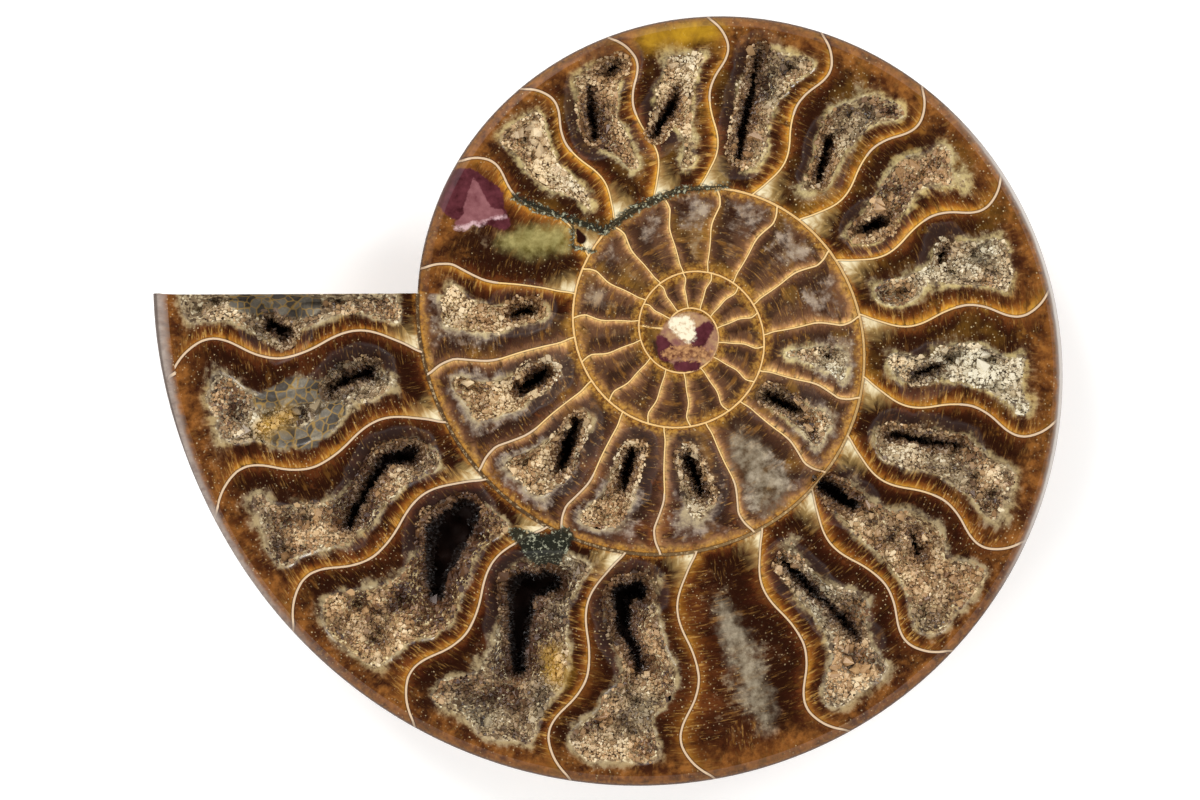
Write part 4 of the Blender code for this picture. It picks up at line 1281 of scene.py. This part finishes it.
def crystal_calcite():
    """Small calcite crystals as they grew, bright on their faces: brown, tan, grey and white.

    Deeper in a hollow they are painted darker, down to near black: painted shade.
    """
    material, tree = new_material("crystal_calcite")
    field = {name: add(tree, "Attribute", out="Fac", attribute_name=name)
             for name in ("tint", "grey", "deep", "gold")}
    places = (0.0, 0.25, 0.5, 0.75, 1.0)
    tan, pale = (add(tree, "ValToRGB", (field["tint"],), stops=tuple(zip(places, codes)))
                 for codes in (("#3c2112", "#6e4b2c", "#98734a", "#b89468", "#d8bf96"),
                               ("#362b1f", "#61533e", "#86785e", "#a8997a", "#d4cab0")))
    colour = add(tree, "Mix", {0: field["grey"], 6: tan, 7: pale}, out=2, data_type="RGBA")
    for value, start, end, most, code in (
        (field["gold"], -0.8, 0.6, 0.7, "#c79c4a"),
        # Painted shade: the deeper under the bed, the darker brown, then near black.
        (field["deep"], 0.5, 2.4, 0.75, "#503019"),
        (field["deep"], 2.2, 5.6, 0.94, "#1e0e07"),
    ):
        share = add(tree, "MapRange", (value, start, end, 0.0, most))
        colour = add(tree, "Mix", {0: share, 6: colour, 7: linear(code)}, out=2, data_type="RGBA")
    shader = add(tree, "BsdfPrincipled", {"Base Color": colour, "Roughness": 0.42, "IOR": 1.55})
    add(tree, "OutputMaterial", {"Surface": shader})
    return material


# Each druse: the bed's crystals of its chamber, the lining, and the crystals on the lining. Their
# tint holds painted shade: darker in the bed's dips, in the strokes round the holes, and deeper down.
BED_CRYSTAL_TILT, WALL_CRYSTAL_TILT = 0.5, 0.35
BED_TINT, TINT_DRIFT, TINT_JITTER, TINT_BY_LUMP_SHADE, TINT_BY_HOLE_SHADE = 0.41, 0.20, 0.17, 0.38, 0.5
HOLE_SHADE_EDGE = (-2.2, 1.4)
LINING_TINT, BLOCK_TINTS = 0.3, (0.35, 0.65)
DEPTH_SHADE_POWER = 1.6
druse_material = crystal_calcite()
for number, (name, deep, stations) in enumerate(HOLLOWS):
    mine = owner == number
    count = int(mine.sum())
    spot_x, spot_y = grid_x[mine], grid_y[mine]
    blocks = patch_distance(spot_x, spot_y, PATCHES["blocks"])
    large = (blocks > -CLEAR_OF_PATCH) & (rng.random(count) < BLOCK_ODDS)
    rich = uneven(spot_x, spot_y, 9.0, BLOCK_SEED) > 0.3
    large |= (rng.random(count) < STRAY_BLOCK_ODDS) & rich
    size = CRYSTAL_GAP * rng.choice(CRYSTAL_SHARES, count, p=CRYSTAL_ODDS)
    size = np.where(large, BLOCK_SIZE, size)
    size = size * rng.uniform(*SIZE_SPREAD, count)
    base = np.stack([spot_x, spot_y, -bed_depth[mine] - 0.05 - BLOCK_SINK * large], axis=1)
    direction = rng.normal(0.0, BED_CRYSTAL_TILT, (count, 3))
    direction[:, 2] = 1.0
    # Painted shade round the holes: crystals in those strokes are darker, browner and less grey.
    stain_and_hole_shade = smooth_step(*HOLE_SHADE_EDGE, patch_distance(spot_x, spot_y, PATCHES["stain_and_hole_shade"]))
    tint = BED_TINT + TINT_DRIFT * uneven(spot_x, spot_y, 8.0, TINT_SEED)
    tint = tint + rng.normal(0.0, TINT_JITTER, count)
    # Painted shade: darker where the bed dips between its lumps, paler on them.
    tint -= TINT_BY_LUMP_SHADE * uneven(spot_x, spot_y, DRUSE_LUMP_SIZE, BED_LUMP_SEED)
    tint = np.where(large, rng.uniform(*BLOCK_TINTS, count), tint)
    tint = np.clip(tint + place_fields["pale"][mine] - TINT_BY_HOLE_SHADE * stain_and_hole_shade, 0.0, 1.0)
    flat_points, flat_faces, flat_tint = crystals(base, direction, size, tint)
    flat_points[:, 2] = np.minimum(flat_points[:, 2], SAWN_LEVEL)
    cool = 0.7 * uneven(spot_x, spot_y, 7.0, GREY_SEED)
    grey = np.clip(place_fields["grey"][mine] + cool - 0.6 * stain_and_hole_shade, 0.0, 1.0)
    flat_grey = np.repeat(grey, CRYSTAL_POINTS)

    closed, quads, front, outward = lining(stations, deep, bed)
    columns = closed.shape[1]
    wall_count = int(columns * LINING_GAP * deep / WALL_CRYSTAL_AREA)
    column = rng.integers(0, columns, wall_count)
    level = rng.uniform(1.0, front - 1.001, wall_count)
    below = np.floor(level).astype(int)
    part = (level - below)[:, None]
    base = closed[below, column] * (1 - part) + closed[below + 1, column] * part
    inward = np.concatenate([-outward[column], np.full((wall_count, 1), 0.5)], axis=1)
    inward = inward + rng.normal(0.0, WALL_CRYSTAL_TILT, inward.shape)
    size = rng.uniform(*WALL_CRYSTAL_SIZES, wall_count)
    tint = rng.beta(2.0, 2.4, wall_count)
    wall_points, wall_faces, wall_tint = crystals(base, inward, size, tint)
    wall_points[:, 2] = np.minimum(wall_points[:, 2], SAWN_LEVEL)
    near = np.argmin(np.hypot(grid_x - stations[0][0], grid_y - stations[0][1]))
    grey = place_fields["grey"][near]

    lining_points = closed.reshape(-1, 3)
    points = np.concatenate([lining_points, flat_points, wall_points])
    second = len(lining_points)
    third = second + len(flat_points)
    faces = quads.tolist() + (flat_faces + second).tolist() + (wall_faces + third).tolist()
    mesh = bpy.data.meshes.new("druse_" + name)
    mesh.from_pydata(to_frame(*points.T).tolist(), [], faces)
    # Depth under the bed, for the painted shade that darkens deeper crystals.
    under_bed = -points[:, 2] - 0.5 * bed(*points.T[:2])
    spots = {
        "tint": np.concatenate([np.full(second, LINING_TINT), flat_tint, wall_tint]),
        "grey": np.concatenate([np.full(second, grey), flat_grey, np.full(len(wall_points), grey)]),
        "deep": under_bed * (deep / USUAL_DEPTH) ** DEPTH_SHADE_POWER,
        "gold": patch_distance(*points.T[:2], PATCHES["yellow"]),
    }
    store(mesh, "POINT", spots)
    mesh.update()
    mesh.materials.append(druse_material)
    piece = bpy.data.objects.new("druse_" + name, mesh)
    bpy.context.collection.objects.link(piece)
    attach(piece, "root")
    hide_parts("crust_" + name)
